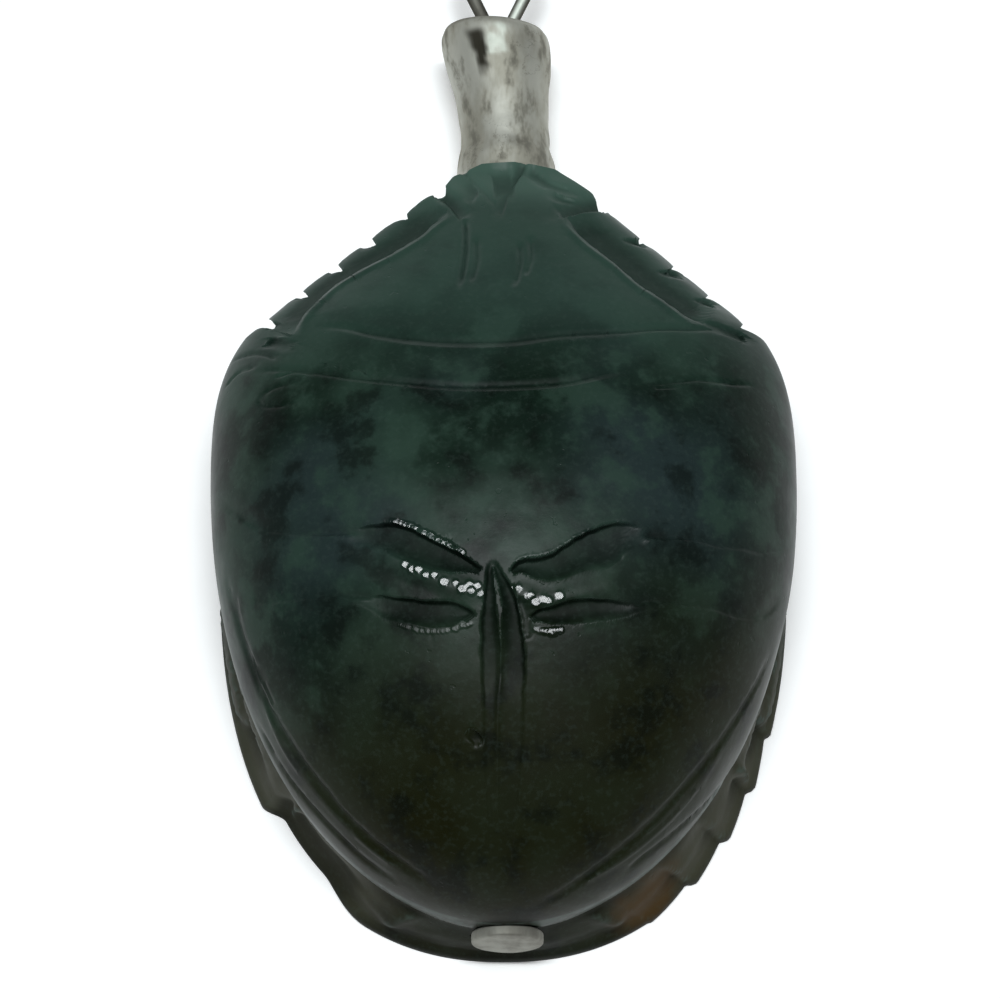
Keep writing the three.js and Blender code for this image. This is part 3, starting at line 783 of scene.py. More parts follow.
@dataclass(frozen=True)
class JasperFinish:
    """Polished green jasper: cloudy dark green, blue-grey on top from painted sheen, olive and brown towards
    the tail.

    Attributes:
        green: the stone's darkest body colour.
        light: its paler clouds and flecks.
        head: paler colour of the head, painted sheen.
        mouth: paler still on the mouth plate, painted sheen.
        blue: blue-grey tone of the top, painted sheen.
        olive: tone of the tail half.
        foot: colour of the wall round the tail.
        brown: colour of the brown patch.
        shade_and_fleck: painted shade in the cuts and under the base edge, and the nearly black flecks.
        lip: lips, paler partly from wear and partly as painted sheen, and pale grains.
        gloss: roughness of the polish.
        rubbed_gloss: roughness of the rubbed flats.
        index: refractive index of quartz.
        sheen: strength of the mirrored light, less than a new polish gives.
    """

    green: str = "0d1c14"
    light: str = "2c4036"
    head: str = "2e433b"
    mouth: str = "475e54"
    blue: str = "222e2e"
    olive: str = "181703"
    foot: str = "444436"
    brown: str = "45341a"
    shade_and_fleck: str = "060b08"
    lip: str = "4a5a53"
    gloss: float = 0.33
    rubbed_gloss: float = 0.1
    index: float = 1.54
    sheen: float = 0.075

    def make(self) -> bpy.types.Material:
        """Makes the stone's material: cloudy body colour with painted sheen, dull cuts with painted shade,
        lips paler from wear and painted sheen, and a polish with pits.

        Returns:
            The material.
        """
        # Jasper ground and polished by hand, then worn: a dark cloudy body under a soft broad sheen, with
        # small bright glints only where handling has rubbed it flat.
        paint = new_paint("jasper_polished_worn")
        add = paint.add
        place = add("ShaderNodeTexCoord", output="Object")
        x, y, z = add("ShaderNodeSeparateXYZ", {0: place}).node.outputs
        # Clouds of lighter green, some millimetres wide, as the stone's iron is spread unevenly.
        clouds = add("ShaderNodeTexNoise", {"Vector": place, "Scale": blotches(5.0), "Detail": 3.0,
                                            "Roughness": 0.55})
        cloudy = add("ShaderNodeMapRange", {0: clouds, 1: 0.4, 2: 0.62, 4: 0.8}, **EASED)
        # Painted sheen: the top of the back is paler and blue-grey, in drifting patches.
        high = add("ShaderNodeMapRange", {0: z, 1: 0.0055, 2: 0.0085}, **EASED)
        drift = add("ShaderNodeTexNoise", {"Vector": place, "Scale": blotches(6.5)})
        drift = add("ShaderNodeMapRange", {0: drift, 1: 0.35, 2: 0.6}, **EASED)
        painted_top_sheen = add("ShaderNodeMath", {0: high, 1: drift}, operation="MULTIPLY")
        # Mottling about a millimetre wide: lighter flecks, and nearly black ones between them.
        mottle = add("ShaderNodeTexNoise", {"Vector": place, "Scale": blotches(1.3), "Detail": 5.0,
                                            "Roughness": 0.58})
        flecks = add("ShaderNodeMapRange", {0: mottle, 1: 0.5, 2: 0.66, 4: 0.6}, **EASED)
        dark_flecks = add("ShaderNodeMapRange", {0: mottle, 1: 0.49, 2: 0.35, 4: 0.62}, **EASED)
        # Towards the tail, and the right side first, it turns olive.
        slant = add("ShaderNodeMath", {0: x, 1: -0.25, 2: y}, operation="MULTIPLY_ADD")
        slant = add("ShaderNodeMath", {0: clouds, 1: -0.006, 2: slant}, operation="MULTIPLY_ADD")
        olive = add("ShaderNodeMapRange", {0: slant, 1: -0.0042, 2: -0.0105, 4: 0.82}, **EASED)
        # Painted sheen: the head, and more so the mouth plate, is painted a paler green.
        head_sheen = add("ShaderNodeMapRange", {0: y, 1: 0.0024, 2: 0.006, 4: 0.68}, **EASED)
        mouth_sheen = add("ShaderNodeMapRange", {0: y, 1: 0.0088, 2: 0.0102, 4: 0.8}, **EASED)
        # The foot of the tail half is olive grey, but dark again below the pin.
        low = add("ShaderNodeMapRange", {0: z, 1: 0.0031, 2: 0.0022}, **EASED)
        behind = add("ShaderNodeMapRange", {0: y, 1: 0.001, 2: -0.006, 4: 0.8}, **EASED)
        not_last = add("ShaderNodeMapRange", {0: y, 1: -0.0109, 2: -0.0091}, **EASED)
        foot = add("ShaderNodeMath", {0: low, 1: behind}, operation="MULTIPLY")
        foot = add("ShaderNodeMath", {0: foot, 1: not_last}, operation="MULTIPLY")
        # One brown patch at the right of the tail, with a ragged edge.
        centre = add("ShaderNodeVectorMath", {0: place, 1: (0.0040, -0.0097, 0.0011)}, "Value",
                     operation="DISTANCE")
        ragged = add("ShaderNodeMath", {0: mottle, 1: 0.0016, 2: centre}, operation="MULTIPLY_ADD")
        patch = add("ShaderNodeMapRange", {0: ragged, 1: 0.0024, 2: 0.0014}, **EASED)
        # Painted shade: darker the deeper the cut, and along the foot under the base edge.
        cut = add("ShaderNodeAttribute", output="Fac", attribute_name="cut")
        cut = add("ShaderNodeMapRange", {0: cut, 1: 0.02, 2: 0.16, 4: 0.5}, **EASED)
        under = add("ShaderNodeMapRange", {0: z, 1: 0.0005, 2: 0.0001, 4: 0.5}, **EASED)
        # Lips paler, in broken lengths: partly wear, partly painted sheen.
        lips = add("ShaderNodeAttribute", output="Fac", attribute_name="lip")
        lips = add("ShaderNodeMapRange", {0: lips, 1: 0.004, 2: 0.03, 4: 0.55}, **EASED)
        broken = add("ShaderNodeTexNoise", {"Vector": place, "Scale": blotches(0.5), "Detail": 3.0,
                                            "Roughness": 0.6})
        broken = add("ShaderNodeMapRange", {0: broken, 1: 0.3, 2: 0.6}, **EASED)
        lips = add("ShaderNodeMath", {0: lips, 1: broken}, operation="MULTIPLY")
        # Quartz grain, a little paler than the rest and drawn coarser than the real one, so that it shows.
        grain = add("ShaderNodeTexNoise", {"Vector": place, "Scale": blotches(0.16), "Detail": 3.0,
                                           "Roughness": 0.6})
        grains = add("ShaderNodeMapRange", {0: grain, 1: 0.48, 2: 0.7, 4: 0.08}, **EASED)
        # The colours lie over each other in this order.
        body = colour(self.green)
        for share, shade in ((cloudy, self.light), (painted_top_sheen, self.blue), (flecks, self.light),
                             (olive, self.olive), (dark_flecks, self.shade_and_fleck), (head_sheen, self.head),
                             (mouth_sheen, self.mouth), (foot, self.foot), (patch, self.brown),
                             (cut, self.shade_and_fleck), (under, self.shade_and_fleck), (lips, self.lip), (grains, self.lip)):
            body = add("ShaderNodeMix", {0: share, 6: body, 7: colour(shade)}, 2, data_type="RGBA")
        # The polish is uneven, duller in the cuts and on the side wall, and mirror-like on the rubbed flats.
        smear = add("ShaderNodeTexNoise", {"Vector": place, "Scale": blotches(2.2), "Detail": 4.0,
                                           "Roughness": 0.6})
        gloss = add("ShaderNodeMapRange", {0: smear, 1: 0.35, 2: 0.7, 3: self.gloss, 4: self.gloss + 0.1},
                    **EASED)
        gloss = add("ShaderNodeMath", {0: cut, 1: 0.45, 2: gloss}, operation="MULTIPLY_ADD")
        side_wall = add("ShaderNodeMapRange", {0: z, 1: 0.003, 2: 0.0012, 4: 0.25}, **EASED)
        gloss = add("ShaderNodeMath", {0: gloss, 1: side_wall}, operation="ADD")
        rubbed = add("ShaderNodeAttribute", output="Fac", attribute_name="polish")
        gloss = add("ShaderNodeMix", {0: rubbed, 2: gloss, 3: self.rubbed_gloss}, data_type="FLOAT")
        # Relief too fine for the mesh: grain, pits and the slight waves of hand polishing.
        fine = add("ShaderNodeBump", {"Strength": 0.25, "Distance": 0.01 * MM, "Height": grain})
        pits = add("ShaderNodeTexNoise", {"Vector": place, "Scale": blotches(0.3)})
        pits = add("ShaderNodeMapRange", {0: pits, 1: 0.29, 2: 0.24}, **EASED)
        pitted = add("ShaderNodeBump", {"Strength": 0.3, "Distance": 0.02 * MM, "Height": pits,
                                        "Normal": fine}, invert=True)
        waves = add("ShaderNodeTexNoise", {"Vector": place, "Scale": blotches(1.1)})
        waves = add("ShaderNodeBump", {"Strength": 0.35, "Distance": 0.06 * MM, "Height": waves,
                                       "Normal": pitted})
        return paint.finish({"Base Color": body, "Roughness": gloss, "IOR": self.index,
                             "Specular IOR Level": self.sheen, "Normal": waves})


class SilverWork(Enum):
    """How a silver surface was made."""

    HAMMERED = "hammered"
    DRAWN = "drawn"


@dataclass(frozen=True)
class SilverFinish:
    """Old silver: bright where it is rubbed, brownish grey where it is tarnished, with near-white painted
    highlights and some painted shade.

    Attributes:
        work: how its surface was made.
        highlight_white: near-white colour of the painted highlights.
        bright: worn metal.
        dull: metal with a thin film.
        dark: tarnish and dirt, and the painted shade and painted dark reflection.
        tarnish: how strong the tarnish specks are.
        gloss: roughness of the worn metal.
    """

    work: SilverWork
    highlight_white: str = "e2e8df"
    bright: str = "c4c4bb"
    dull: str = "b0aea2"
    dark: str = "48453a"
    tarnish: float = 0.4
    gloss: float = 0.6

    def make(self) -> bpy.types.Material:
        """Makes the silver's material: rubbed metal, tarnish in patches, painted highlights and shade, and
        the marks of the making.

        Returns:
            The material.
        """
        # Silver that was hammered or drawn and has aged: it mirrors in a soft blur, grey and cloudy.
        paint = new_paint(f"old_silver_{self.work.value}")
        add = paint.add
        place = add("ShaderNodeTexCoord", output="Object")
        # Patches of duller metal, and tarnish specks on them.
        along = add("ShaderNodeVectorMath", {0: place, 1: (1.0, 0.45, 1.0)}, operation="MULTIPLY")
        patches = add("ShaderNodeTexNoise", {"Vector": along, "Scale": blotches(1.0), "Detail": 4.0,
                                             "Roughness": 0.6})
        dull = add("ShaderNodeMapRange", {0: patches, 1: 0.38, 2: 0.6}, **EASED)
        specks = add("ShaderNodeTexNoise", {"Vector": along, "Scale": blotches(0.5), "Detail": 4.0,
                                            "Roughness": 0.6})
        specks = add("ShaderNodeMapRange", {0: specks, 1: 0.5, 2: 0.7, 4: self.tarnish}, **EASED)
        # The stored stains also carry painted shade and a painted dark reflection.
        stored_stain_and_shade = add("ShaderNodeAttribute", output="Fac", attribute_name="stain_and_shade")
        stain_and_shade = add("ShaderNodeMath", {0: specks, 1: stored_stain_and_shade}, operation="MAXIMUM")
        # A few fine creases, where dirt stays.
        creases = add("ShaderNodeTexNoise", {"Vector": place, "Scale": blotches(1.1), "Detail": 5.0,
                                             "Roughness": 0.62})
        creases = add("ShaderNodeMath", {0: creases, 1: 0.5}, operation="SUBTRACT")
        creases = add("ShaderNodeMath", {0: creases}, operation="ABSOLUTE")
        creases = add("ShaderNodeMapRange", {0: creases, 1: 0.008, 2: 0.001, 4: 0.7 * self.tarnish}, **EASED)
        few = add("ShaderNodeTexNoise", {"Vector": place, "Scale": blotches(1.6), "Detail": 1.0})
        few = add("ShaderNodeMapRange", {0: few, 1: 0.5, 2: 0.65}, **EASED)
        creases = add("ShaderNodeMath", {0: creases, 1: few}, operation="MULTIPLY")
        # Painted highlights, nearly white.
        painted_highlight = add("ShaderNodeAttribute", output="Fac", attribute_name="painted_highlight")
        # The colours lie over each other in this order.
        body = colour(self.bright)
        for share, shade in ((dull, self.dull), (stain_and_shade, self.dark), (creases, self.dark), (painted_highlight, self.highlight_white)):
            body = add("ShaderNodeMix", {0: share, 6: body, 7: colour(shade)}, 2, data_type="RGBA")
        # Patches, and the stains with their painted shade, are duller than the rubbed metal.
        gloss = add("ShaderNodeMath", {0: patches, 1: 0.25, 2: self.gloss}, operation="MULTIPLY_ADD")
        gloss = add("ShaderNodeMath", {0: stain_and_shade, 1: 0.25, 2: gloss}, operation="MULTIPLY_ADD")
        # Sheet keeps the soft dents of the hammer, wire the lines of the draw plate.
        if self.work is SilverWork.HAMMERED:
            height = add("ShaderNodeTexNoise", {"Vector": place, "Scale": blotches(0.55), "Detail": 3.0,
                                                "Roughness": 0.55})
            size = 0.03 * MM
        else:
            drawn = add("ShaderNodeVectorMath", {0: place, 1: (1.0, 0.06, 1.0)}, operation="MULTIPLY")
            height = add("ShaderNodeTexNoise", {"Vector": drawn, "Scale": blotches(0.06)})
            size = 0.01 * MM
        marks = add("ShaderNodeBump", {"Strength": 0.6, "Distance": size, "Height": height})
        # A grain too fine to see as marks, which keeps the metal from looking like a mirror.
        grain = add("ShaderNodeTexNoise", {"Vector": place, "Scale": blotches(0.08), "Roughness": 0.6})
        grain = add("ShaderNodeBump", {"Strength": 0.3, "Distance": 0.01 * MM, "Height": grain,
                                       "Normal": marks})
        return paint.finish({"Base Color": body, "Metallic": 1.0, "Roughness": gloss, "Normal": grain})


def deselect() -> None:
    """Leaves edit mode and deselects everything.

    The operators that add or change an object work on what is selected, so this comes before them.
    """
    if bpy.context.object and bpy.context.object.mode == "EDIT":
        bpy.ops.object.mode_set(mode="OBJECT")
    bpy.ops.object.select_all(action="DESELECT")


def make_active(piece: bpy.types.Object) -> None:
    """Selects one object and makes it the active one.

    Args:
        piece: the object.
    """
    deselect()
    piece.select_set(True)
    bpy.context.view_layer.objects.active = piece


def apply_modifier(piece: bpy.types.Object, kind: str, **settings: object) -> None:
    """Adds a modifier, sets it and applies it.

    Args:
        piece: the object.
        kind: the modifier's type.
        settings: the modifier's properties.
    """
    make_active(piece)
    modifier = piece.modifiers.new(kind.lower(), kind)
    for name, value in settings.items():
        setattr(modifier, name, value)
    bpy.ops.object.modifier_apply(modifier=modifier.name)


def get_points(mesh: bpy.types.Mesh) -> Array:
    """Reads a mesh's vertices.

    Args:
        mesh: the mesh.

    Returns:
        Rows of x, y, z in metres.
    """
    flat = np.empty(len(mesh.vertices) * 3)
    mesh.vertices.foreach_get("co", flat)
    return flat.reshape(-1, 3)


def get_normals(mesh: bpy.types.Mesh) -> Array:
    """Reads the unit normals of a mesh's vertices.

    Args:
        mesh: the mesh.

    Returns:
        One row a vertex.
    """
    flat = np.empty(len(mesh.vertices) * 3)
    mesh.vertices.foreach_get("normal", flat)
    return flat.reshape(-1, 3)


def set_points(mesh: bpy.types.Mesh, points: Array) -> None:
    """Moves a mesh's vertices.

    Args:
        mesh: the mesh.
        points: rows of x, y, z in metres.
    """
    mesh.vertices.foreach_set("co", points.reshape(-1))
    mesh.update()


def get_edges(mesh: bpy.types.Mesh) -> Array:
    """Reads a mesh's edges.

    Args:
        mesh: the mesh.

    Returns:
        Pairs of vertex indices.
    """
    flat = np.empty(len(mesh.edges) * 2, dtype=np.int32)
    mesh.edges.foreach_get("vertices", flat)
    return flat.reshape(-1, 2)


def height_over_neighbours(mesh: bpy.types.Mesh, height: Array) -> Array:
    """Compares each vertex with the vertices round it.

    Args:
        mesh: the mesh.
        height: one height a vertex.

    Returns:
        How far each stands above the mean of its neighbours.
    """
    total = np.zeros(len(height))
    count = np.zeros(len(height))
    edges = get_edges(mesh)
    for here, there in (edges.T, edges.T[::-1]):
        np.add.at(total, here, height[there])
        np.add.at(count, here, 1)
    return height - total / np.maximum(count, 1)


def long_way(mesh: bpy.types.Mesh) -> Array:
    """Finds the edges that run from the top of a wall one unit high to its foot.

    Args:
        mesh: the mesh.

    Returns:
        True for each such edge.
    """
    ends = get_points(mesh)[get_edges(mesh)][:, :, 2]
    return np.abs(ends[:, 0] - ends[:, 1]) > 0.5


def select_only(mesh: bpy.types.Mesh, chosen: Array, kind: str) -> None:
    """Selects chosen elements of a mesh in object mode.

    Args:
        mesh: the mesh.
        chosen: true for each element to select.
        kind: vertices, edges or polygons.
    """
    for name in ("vertices", "edges", "polygons"):
        getattr(mesh, name).foreach_set("select", np.zeros(len(getattr(mesh, name)), dtype=bool))
    getattr(mesh, kind).foreach_set("select", chosen)


def put_attribute(mesh: bpy.types.Mesh, name: str, values: Array) -> None:
    """Stores values on a mesh for its material to read.

    Args:
        mesh: the mesh.
        name: the attribute's name.
        values: one value a vertex.
    """
    layer = mesh.attributes.new(name, "FLOAT", "POINT")
    layer.data.foreach_set("value", values.astype(np.float32))


def hand_over(piece: bpy.types.Object, node: str, material: bpy.types.Material) -> None:
    """Dresses a finished piece and ties it to the frame.

    Args:
        piece: the finished mesh object.
        node: the node that it stands for.
        material: its finish.
    """
    piece.data.materials.clear()
    piece.data.materials.append(material)
    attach(piece, "root")
    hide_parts(node)
    LOG.info("%s: %d vertices, %d faces", piece.name, len(piece.data.vertices), len(piece.data.polygons))


@dataclass
class Limb:
    """One leg in relief on the side wall, as a bent bar seen from the side.

    Attributes:
        bends: places y, z of its ends and its joint in millimetres.
        radius: half its width in millimetres.
    """

    bends: list[tuple[float, float]]
    radius: float

    def distance(self, y: Array, z: Array) -> Array:
        """Measures how far points on the wall lie from the leg's middle line.

        Args:
            y: their places along the stone, in millimetres.
            z: their heights in millimetres.

        Returns:
            The distances in millimetres.
        """
        best = np.full(len(y), 99.0)
        for (y0, z0), (y1, z1) in zip(self.bends, self.bends[1:]):
            run = (y1 - y0) ** 2 + (z1 - z0) ** 2
            t = np.clip(((y - y0) * (y1 - y0) + (z - z0) * (z1 - z0)) / run, 0, 1)
            best = np.minimum(best, np.hypot(y - mix(y0, y1, t), z - mix(z0, z1, t)))
        return best


@dataclass
class ScarabStone:
    """The carved stone: a grid bent over the back, a side wall with the legs, and the seal face.

    Lengths are millimetres.

    Attributes:
        cells: cells along each side of the grid.
        refine: a cell is halved where the carving's depth changes more than this across it, once for each.
        crowding: how much closer the grid's rings lie where the wings are cut.
        crowded_at: share of the way out where they lie closest.
        crowded_width: how wide that stretch is, as a share.
        wall_rows: rows of faces down the side wall.
        lip: height of the rim's upright lip.
        band: height of the base band beside the legs.
        tail_band: its height round the tail.
        tail_step: how far the base stands out behind the tail.
        squareness: how square the base is towards the tail.
        base_inset: how far inside the back's width the seal face ends.
        bore: radius of the bore.
        bore_offset: how far the bore lies to the right of the middle.
        overcut: how far the bore's cutter reaches past the stone.
        tube_seat: radius of the tube's seat.
        head_seat: radius of the pin head's seat.
        seat_y: where the two seats end the bore.
        flat_tip: how far the rubbed flats are tipped to the tail, in degrees.
        flat_lift: how far they stand out.
        ribs: side and place of each upright rib on the wall.
        rib_width: half width of a rib.
        rib_height: how far a rib stands out.
        leg_proud: how far the legs stand out of the wall.
        hollow: how deep the wall is cut between them.
        leg_ends: where the worn steps of the right side's base lie, from the front to the tail.
        legs: the three legs on each side, in relief.
        border: scale and rise in metres of each ring of the seal face, from outside in: a sunk line.
    """

    cells: int = 200
    refine: tuple[float, ...] = (0.025, 0.05)
    crowding: float = 1.1
    crowded_at: float = 0.33
    crowded_width: float = 0.15
    wall_rows: int = 20
    lip: float = 0.35
    band: float = 0.75
    tail_band: float = 0.4
    tail_step: float = 0.2
    squareness: float = 2.25
    base_inset: float = 0.1
    bore: float = 0.55
    bore_offset: float = 0.1
    overcut: float = 2.0
    tube_seat: float = 1.54
    head_seat: float = 1.095
    seat_y: tuple[float, float] = (-10.85, 10.95)
    flat_tip: float = 10.0
    flat_lift: float = 0.004
    ribs: tuple[tuple[int, float], ...] = ((-1, -7.4), (-1, -10.3), (1, -6.2), (1, -10.3))
    rib_width: float = 0.13
    rib_height: float = 0.16
    leg_proud: float = 0.12
    hollow: float = 0.2
    leg_ends: tuple[float, ...] = (-4.7, -6.3, -7.75, -9.0, -10.1)
    legs: list[Limb] = field(default_factory=lambda: [
        Limb([(3.4, 2.9), (6.5, 2.0), (9.5, 1.9)], 0.55),
        Limb([(2.6, 2.9), (-0.8, 2.4), (-4.2, 1.35)], 0.5),
        Limb([(-3.2, 2.6), (-7.0, 2.05), (-10.2, 1.45)], 0.5)])
    border: tuple[Share, ...] = ((0.94, 0.0), (0.99, 0.00014), (0.965, 0.0), (0.99, -0.00014))

    def __post_init__(self) -> None:
        """Takes the stone's size and the bore's height from the frame.

        The bore runs through the middle of the tube.
        """
        low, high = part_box("scarab_stone")
        self.form = BeetleForm(half_width=(high[0] - low[0]) / 2 / MM, half_length=high[1] / MM)
        tube_low, tube_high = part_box("silver_tube")
        self.axis = (self.bore_offset, (tube_low[2] + tube_high[2]) / 2 / MM)

    def outline(self, count: int) -> Array:
        """Draws the outline of the back in plan, from the tail round by the right side.

        Args:
            count: number of points wanted.

        Returns:
            Rows of x, y in millimetres, evenly spaced.
        """
        form = self.form
        right_teeth = foreleg(form, 1, (0.364, 0.843), (0.826, 0.487), 4, 0.16)[::-1]
        left_teeth = foreleg(form, -1, (-0.232, 0.893), (-0.818, 0.522), 5, 0.24)
        muzzle = [(0.36, 0.853), (0.33, 0.888), (0.26, 0.93), (0.18, 0.978), (0.06, 0.995), (-0.076, 0.99),
                  (-0.176, 0.953), (-0.205, 0.916), (-0.211, 0.888)]
        gap = [(-0.785, 0.475), (-0.85, 0.5)]
        angles = np.linspace(0, math.pi / 2, 90)
        rear = form.widest - (1 + form.widest) * np.cos(angles)
        sides = []
        for shoulder in (0.48, 0.485):
            v = np.concatenate([rear, np.linspace(form.widest, shoulder, 40)[1:]])
            sides.append(np.column_stack([form.half_plan(v), v]))
        left = sides[1][::-1] * (-1, 1)
        corners = np.vstack([sides[0], right_teeth, muzzle, left_teeth, gap, left])
        corners = corners * (form.half_width, form.half_length)
        run = np.concatenate([[0], np.cumsum(np.linalg.norm(np.diff(corners, axis=0), axis=1))])
        places = np.linspace(0, run[-1], count, endpoint=False)
        return np.column_stack([np.interp(places, run, corners[:, k]) for k in (0, 1)])

    def base_edge(self, plan: Array) -> Array:
        """Draws the edge of the seal face, squarer towards the tail.

        Args:
            plan: rows of x, y of the rim in millimetres.

        Returns:
            Rows of x, y of the edge in each rim point's direction.
        """
        form = self.form
        angle = np.arctan2(plan[:, 1] / form.half_length, plan[:, 0] / form.half_width)
        across, along = np.cos(angle), np.sin(angle)
        power = np.where(along > 0, 1.0, 2 / self.squareness)
        length = np.where(along > 0, form.half_length, form.half_length + self.tail_step)
        half_width = form.half_width - self.base_inset
        return np.column_stack([np.sign(across) * np.abs(across) ** power * half_width,
                                np.sign(along) * np.abs(along) ** power * length])

    def blank(self) -> bpy.types.Object:
        """Makes the grid, finer where the carving is steep, and the wall below its edge, square and flat.

        Returns:
            The mesh object, before it is bent.
        """
        deselect()
        bpy.ops.mesh.primitive_grid_add(x_subdivisions=self.cells, y_subdivisions=self.cells, size=2)
        piece = bpy.context.object
        piece.name = "scarab_stone_carved"
        edge = self.outline(self.cells * 4)
        for steepest in self.refine:
            grid = get_points(piece.data)
            depth = Carving(self.form).depth(self.bend_over_back(grid, edge))
            faces = [list(face.vertices) for face in piece.data.polygons]
            # The cells along the rim stay whole, so that the wall below them keeps even columns.
            inside = np.abs(grid).max(1) < RIM_CELLS
            steep = np.array([np.ptp(depth[face]) > steepest and inside[face].all() for face in faces])
            steep |= self.near_flat(piece.data, edge)
            select_only(piece.data, steep, "polygons")
            bpy.ops.object.mode_set(mode="EDIT")
            bpy.ops.mesh.select_mode(type="FACE")
            bpy.ops.mesh.subdivide(number_cuts=1)
            bpy.ops.object.mode_set(mode="OBJECT")
        bpy.ops.object.mode_set(mode="EDIT")
        bpy.ops.mesh.select_mode(type="EDGE")
        bpy.ops.mesh.select_all(action="SELECT")
        bpy.ops.mesh.region_to_loop()
        bpy.ops.mesh.extrude_edges_move(TRANSFORM_OT_translate={"value": (0, 0, -1)})
        bpy.ops.object.mode_set(mode="OBJECT")
        select_only(piece.data, long_way(piece.data), "edges")
        bpy.ops.object.mode_set(mode="EDIT")
        bpy.ops.mesh.subdivide(number_cuts=self.wall_rows - 1)
        bpy.ops.object.mode_set(mode="OBJECT")
        return piece

    def near_flat(self, mesh: bpy.types.Mesh, edge: Array) -> Array:
        """Finds the faces of the flat grid that will lie on a rubbed flat.

        Args:
            mesh: the flat grid.
            edge: the rim in plan, one row for each step round it.

        Returns:
            True for each such face.
        """
        centres = self.bend_over_back(np.array([face.center for face in mesh.polygons]), edge)[:, :2]
        chosen = np.zeros(len(centres), dtype=bool)
        for flat in Carving(self.form).flats():
            place = (flat.x * self.form.half_width, flat.y * self.form.half_length)
            chosen |= np.linalg.norm(centres - place, axis=1) < flat.radius + 0.06
        return chosen

    def perimeter_place(self, grid: Array) -> Array:
        """Measures how far round the square the grid points lie, from the tail's middle by the right side.

        Args:
            grid: rows of x, y from -1 to 1 on the flat grid.

        Returns:
            Shares of the way round, from 0 to 1.
        """
        ring = np.abs(grid[:, :2]).max(1)
        a = grid[:, 0] / np.maximum(ring, 1e-9)
        b = grid[:, 1] / np.maximum(ring, 1e-9)
        place = np.where((b <= -1 + 1e-6) & (a >= 0), a, 0.0)
        place = np.where((a >= 1 - 1e-6), 2 + b, place)
        place = np.where((b >= 1 - 1e-6), 4 - a, place)
        place = np.where((a <= -1 + 1e-6), 6 - b, place)
        place = np.where((b <= -1 + 1e-6) & (a < 0), 8 + a, place)
        return (place / 8) % 1.0

    def bend_over_back(self, grid: Array, edge: Array) -> Array:
        """Bends the flat grid over the back, evenly spaced along the surface.

        Args:
            grid: rows of x, y from -1 to 1 on the flat grid.
            edge: the rim in plan, one row for each step round it.

        Returns:
            Rows of x, y, z in millimetres.
        """
        ring = np.abs(grid[:, :2]).max(1)
        place = self.perimeter_place(grid) * len(edge)
        low = np.floor(place).astype(int) % len(edge)
        high = (low + 1) % len(edge)
        part = (place - np.floor(place))[:, None]
        rim = edge[low] * (1 - part) + edge[high] * part
        # The back is measured along rays from its middle to the rim, one for each few points of the rim,
        # with steps that are closer together where the back is steep.
        stride = 8
        steps = np.linspace(0, 1, 160) ** 0.5
        coarse = edge[::stride]
        rays = self.form.surface((coarse[:, None, :] * steps[None, :, None]).reshape(-1, 2))
        rays = rays.reshape(len(coarse), len(steps), 3)
        run = np.concatenate([np.zeros((len(coarse), 1)),
                              np.cumsum(np.linalg.norm(np.diff(rays, axis=1), axis=2), axis=1)], axis=1)
        run /= run[:, -1:]
        even = np.linspace(0, 1, self.cells // 2 + 1)
        density = 1 + self.crowding * np.exp(-((even - self.crowded_at) / self.crowded_width) ** 2)
        crowd = np.concatenate([[0], np.cumsum((density[1:] + density[:-1]) / 2)])
        levels = np.interp(even * crowd[-1], crowd, even)
        table = np.array([np.interp(levels, row, steps) for row in run])
        level = np.minimum(ring * (self.cells // 2), self.cells // 2 - 1e-6)
        row = np.floor(level).astype(int)
        up = level - row
        spot = place / stride
        a = np.floor(spot).astype(int) % len(coarse)
        b = (a + 1) % len(coarse)
        share = spot - np.floor(spot)
        reach = ((table[a, row] * (1 - up) + table[a, row + 1] * up) * (1 - share)
                 + (table[b, row] * (1 - up) + table[b, row + 1] * up) * share)
        return self.form.surface(rim * reach[:, None])

    def wall(self, rim: Array, level: Array) -> Array:
        """Places the side wall: lip, undercut, the swell of the legs and the base band.

        Args:
            rim: the rim point above each wall point.
            level: how far down the wall each point lies, from 0 at the rim to 1 at the seal face.

        Returns:
            Rows of x, y, z in millimetres.
        """
        base = self.base_edge(rim[:, :2])
        angle = np.arctan2(rim[:, 1] / self.form.half_length, rim[:, 0] / self.form.half_width)
        undercut = 1 - mix(0.015, 0.05, np.abs(np.cos(angle)))
        lip = rim[:, 2] - self.lip
        band = mix(self.tail_band, self.band, smooth_step(-6.0, -1.0, rim[:, 1]))
        # Share down the wall, share of the way out to the base's edge, scale in plan, and height.
        keys = [
            (0.0, 0.0, np.ones(len(rim)), rim[:, 2]),
            (0.14, 0.0, np.ones(len(rim)), lip),
            (0.22, 0.2, undercut, mix(lip, band, 0.16)),
            (0.6, 0.6, mix(1.0, undercut, 0.4), mix(lip, band, 0.6)),
            (0.8, 1.0, np.full(len(rim), 0.985), band + 0.06),
            (0.87, 1.0, np.ones(len(rim)), band - 0.12),
            (1.0, 1.0, np.ones(len(rim)), np.zeros(len(rim)))]
        out = np.zeros((len(rim), 3))
        for (s0, m0, c0, z0), (s1, m1, c1, z1) in zip(keys, keys[1:]):
            inside = (level >= s0 - 1e-6) & (level <= s1 + 1e-6)
            t = np.clip((level - s0) / (s1 - s0), 0, 1)
            place = mix(m0, m1, t)[:, None]
            scale = mix(c0, c1, t)[:, None]
            plan = (rim[:, :2] * (1 - place) + base * place) * scale
            out[inside] = np.column_stack([plan, mix(z0, z1, t)])[inside]
        return out

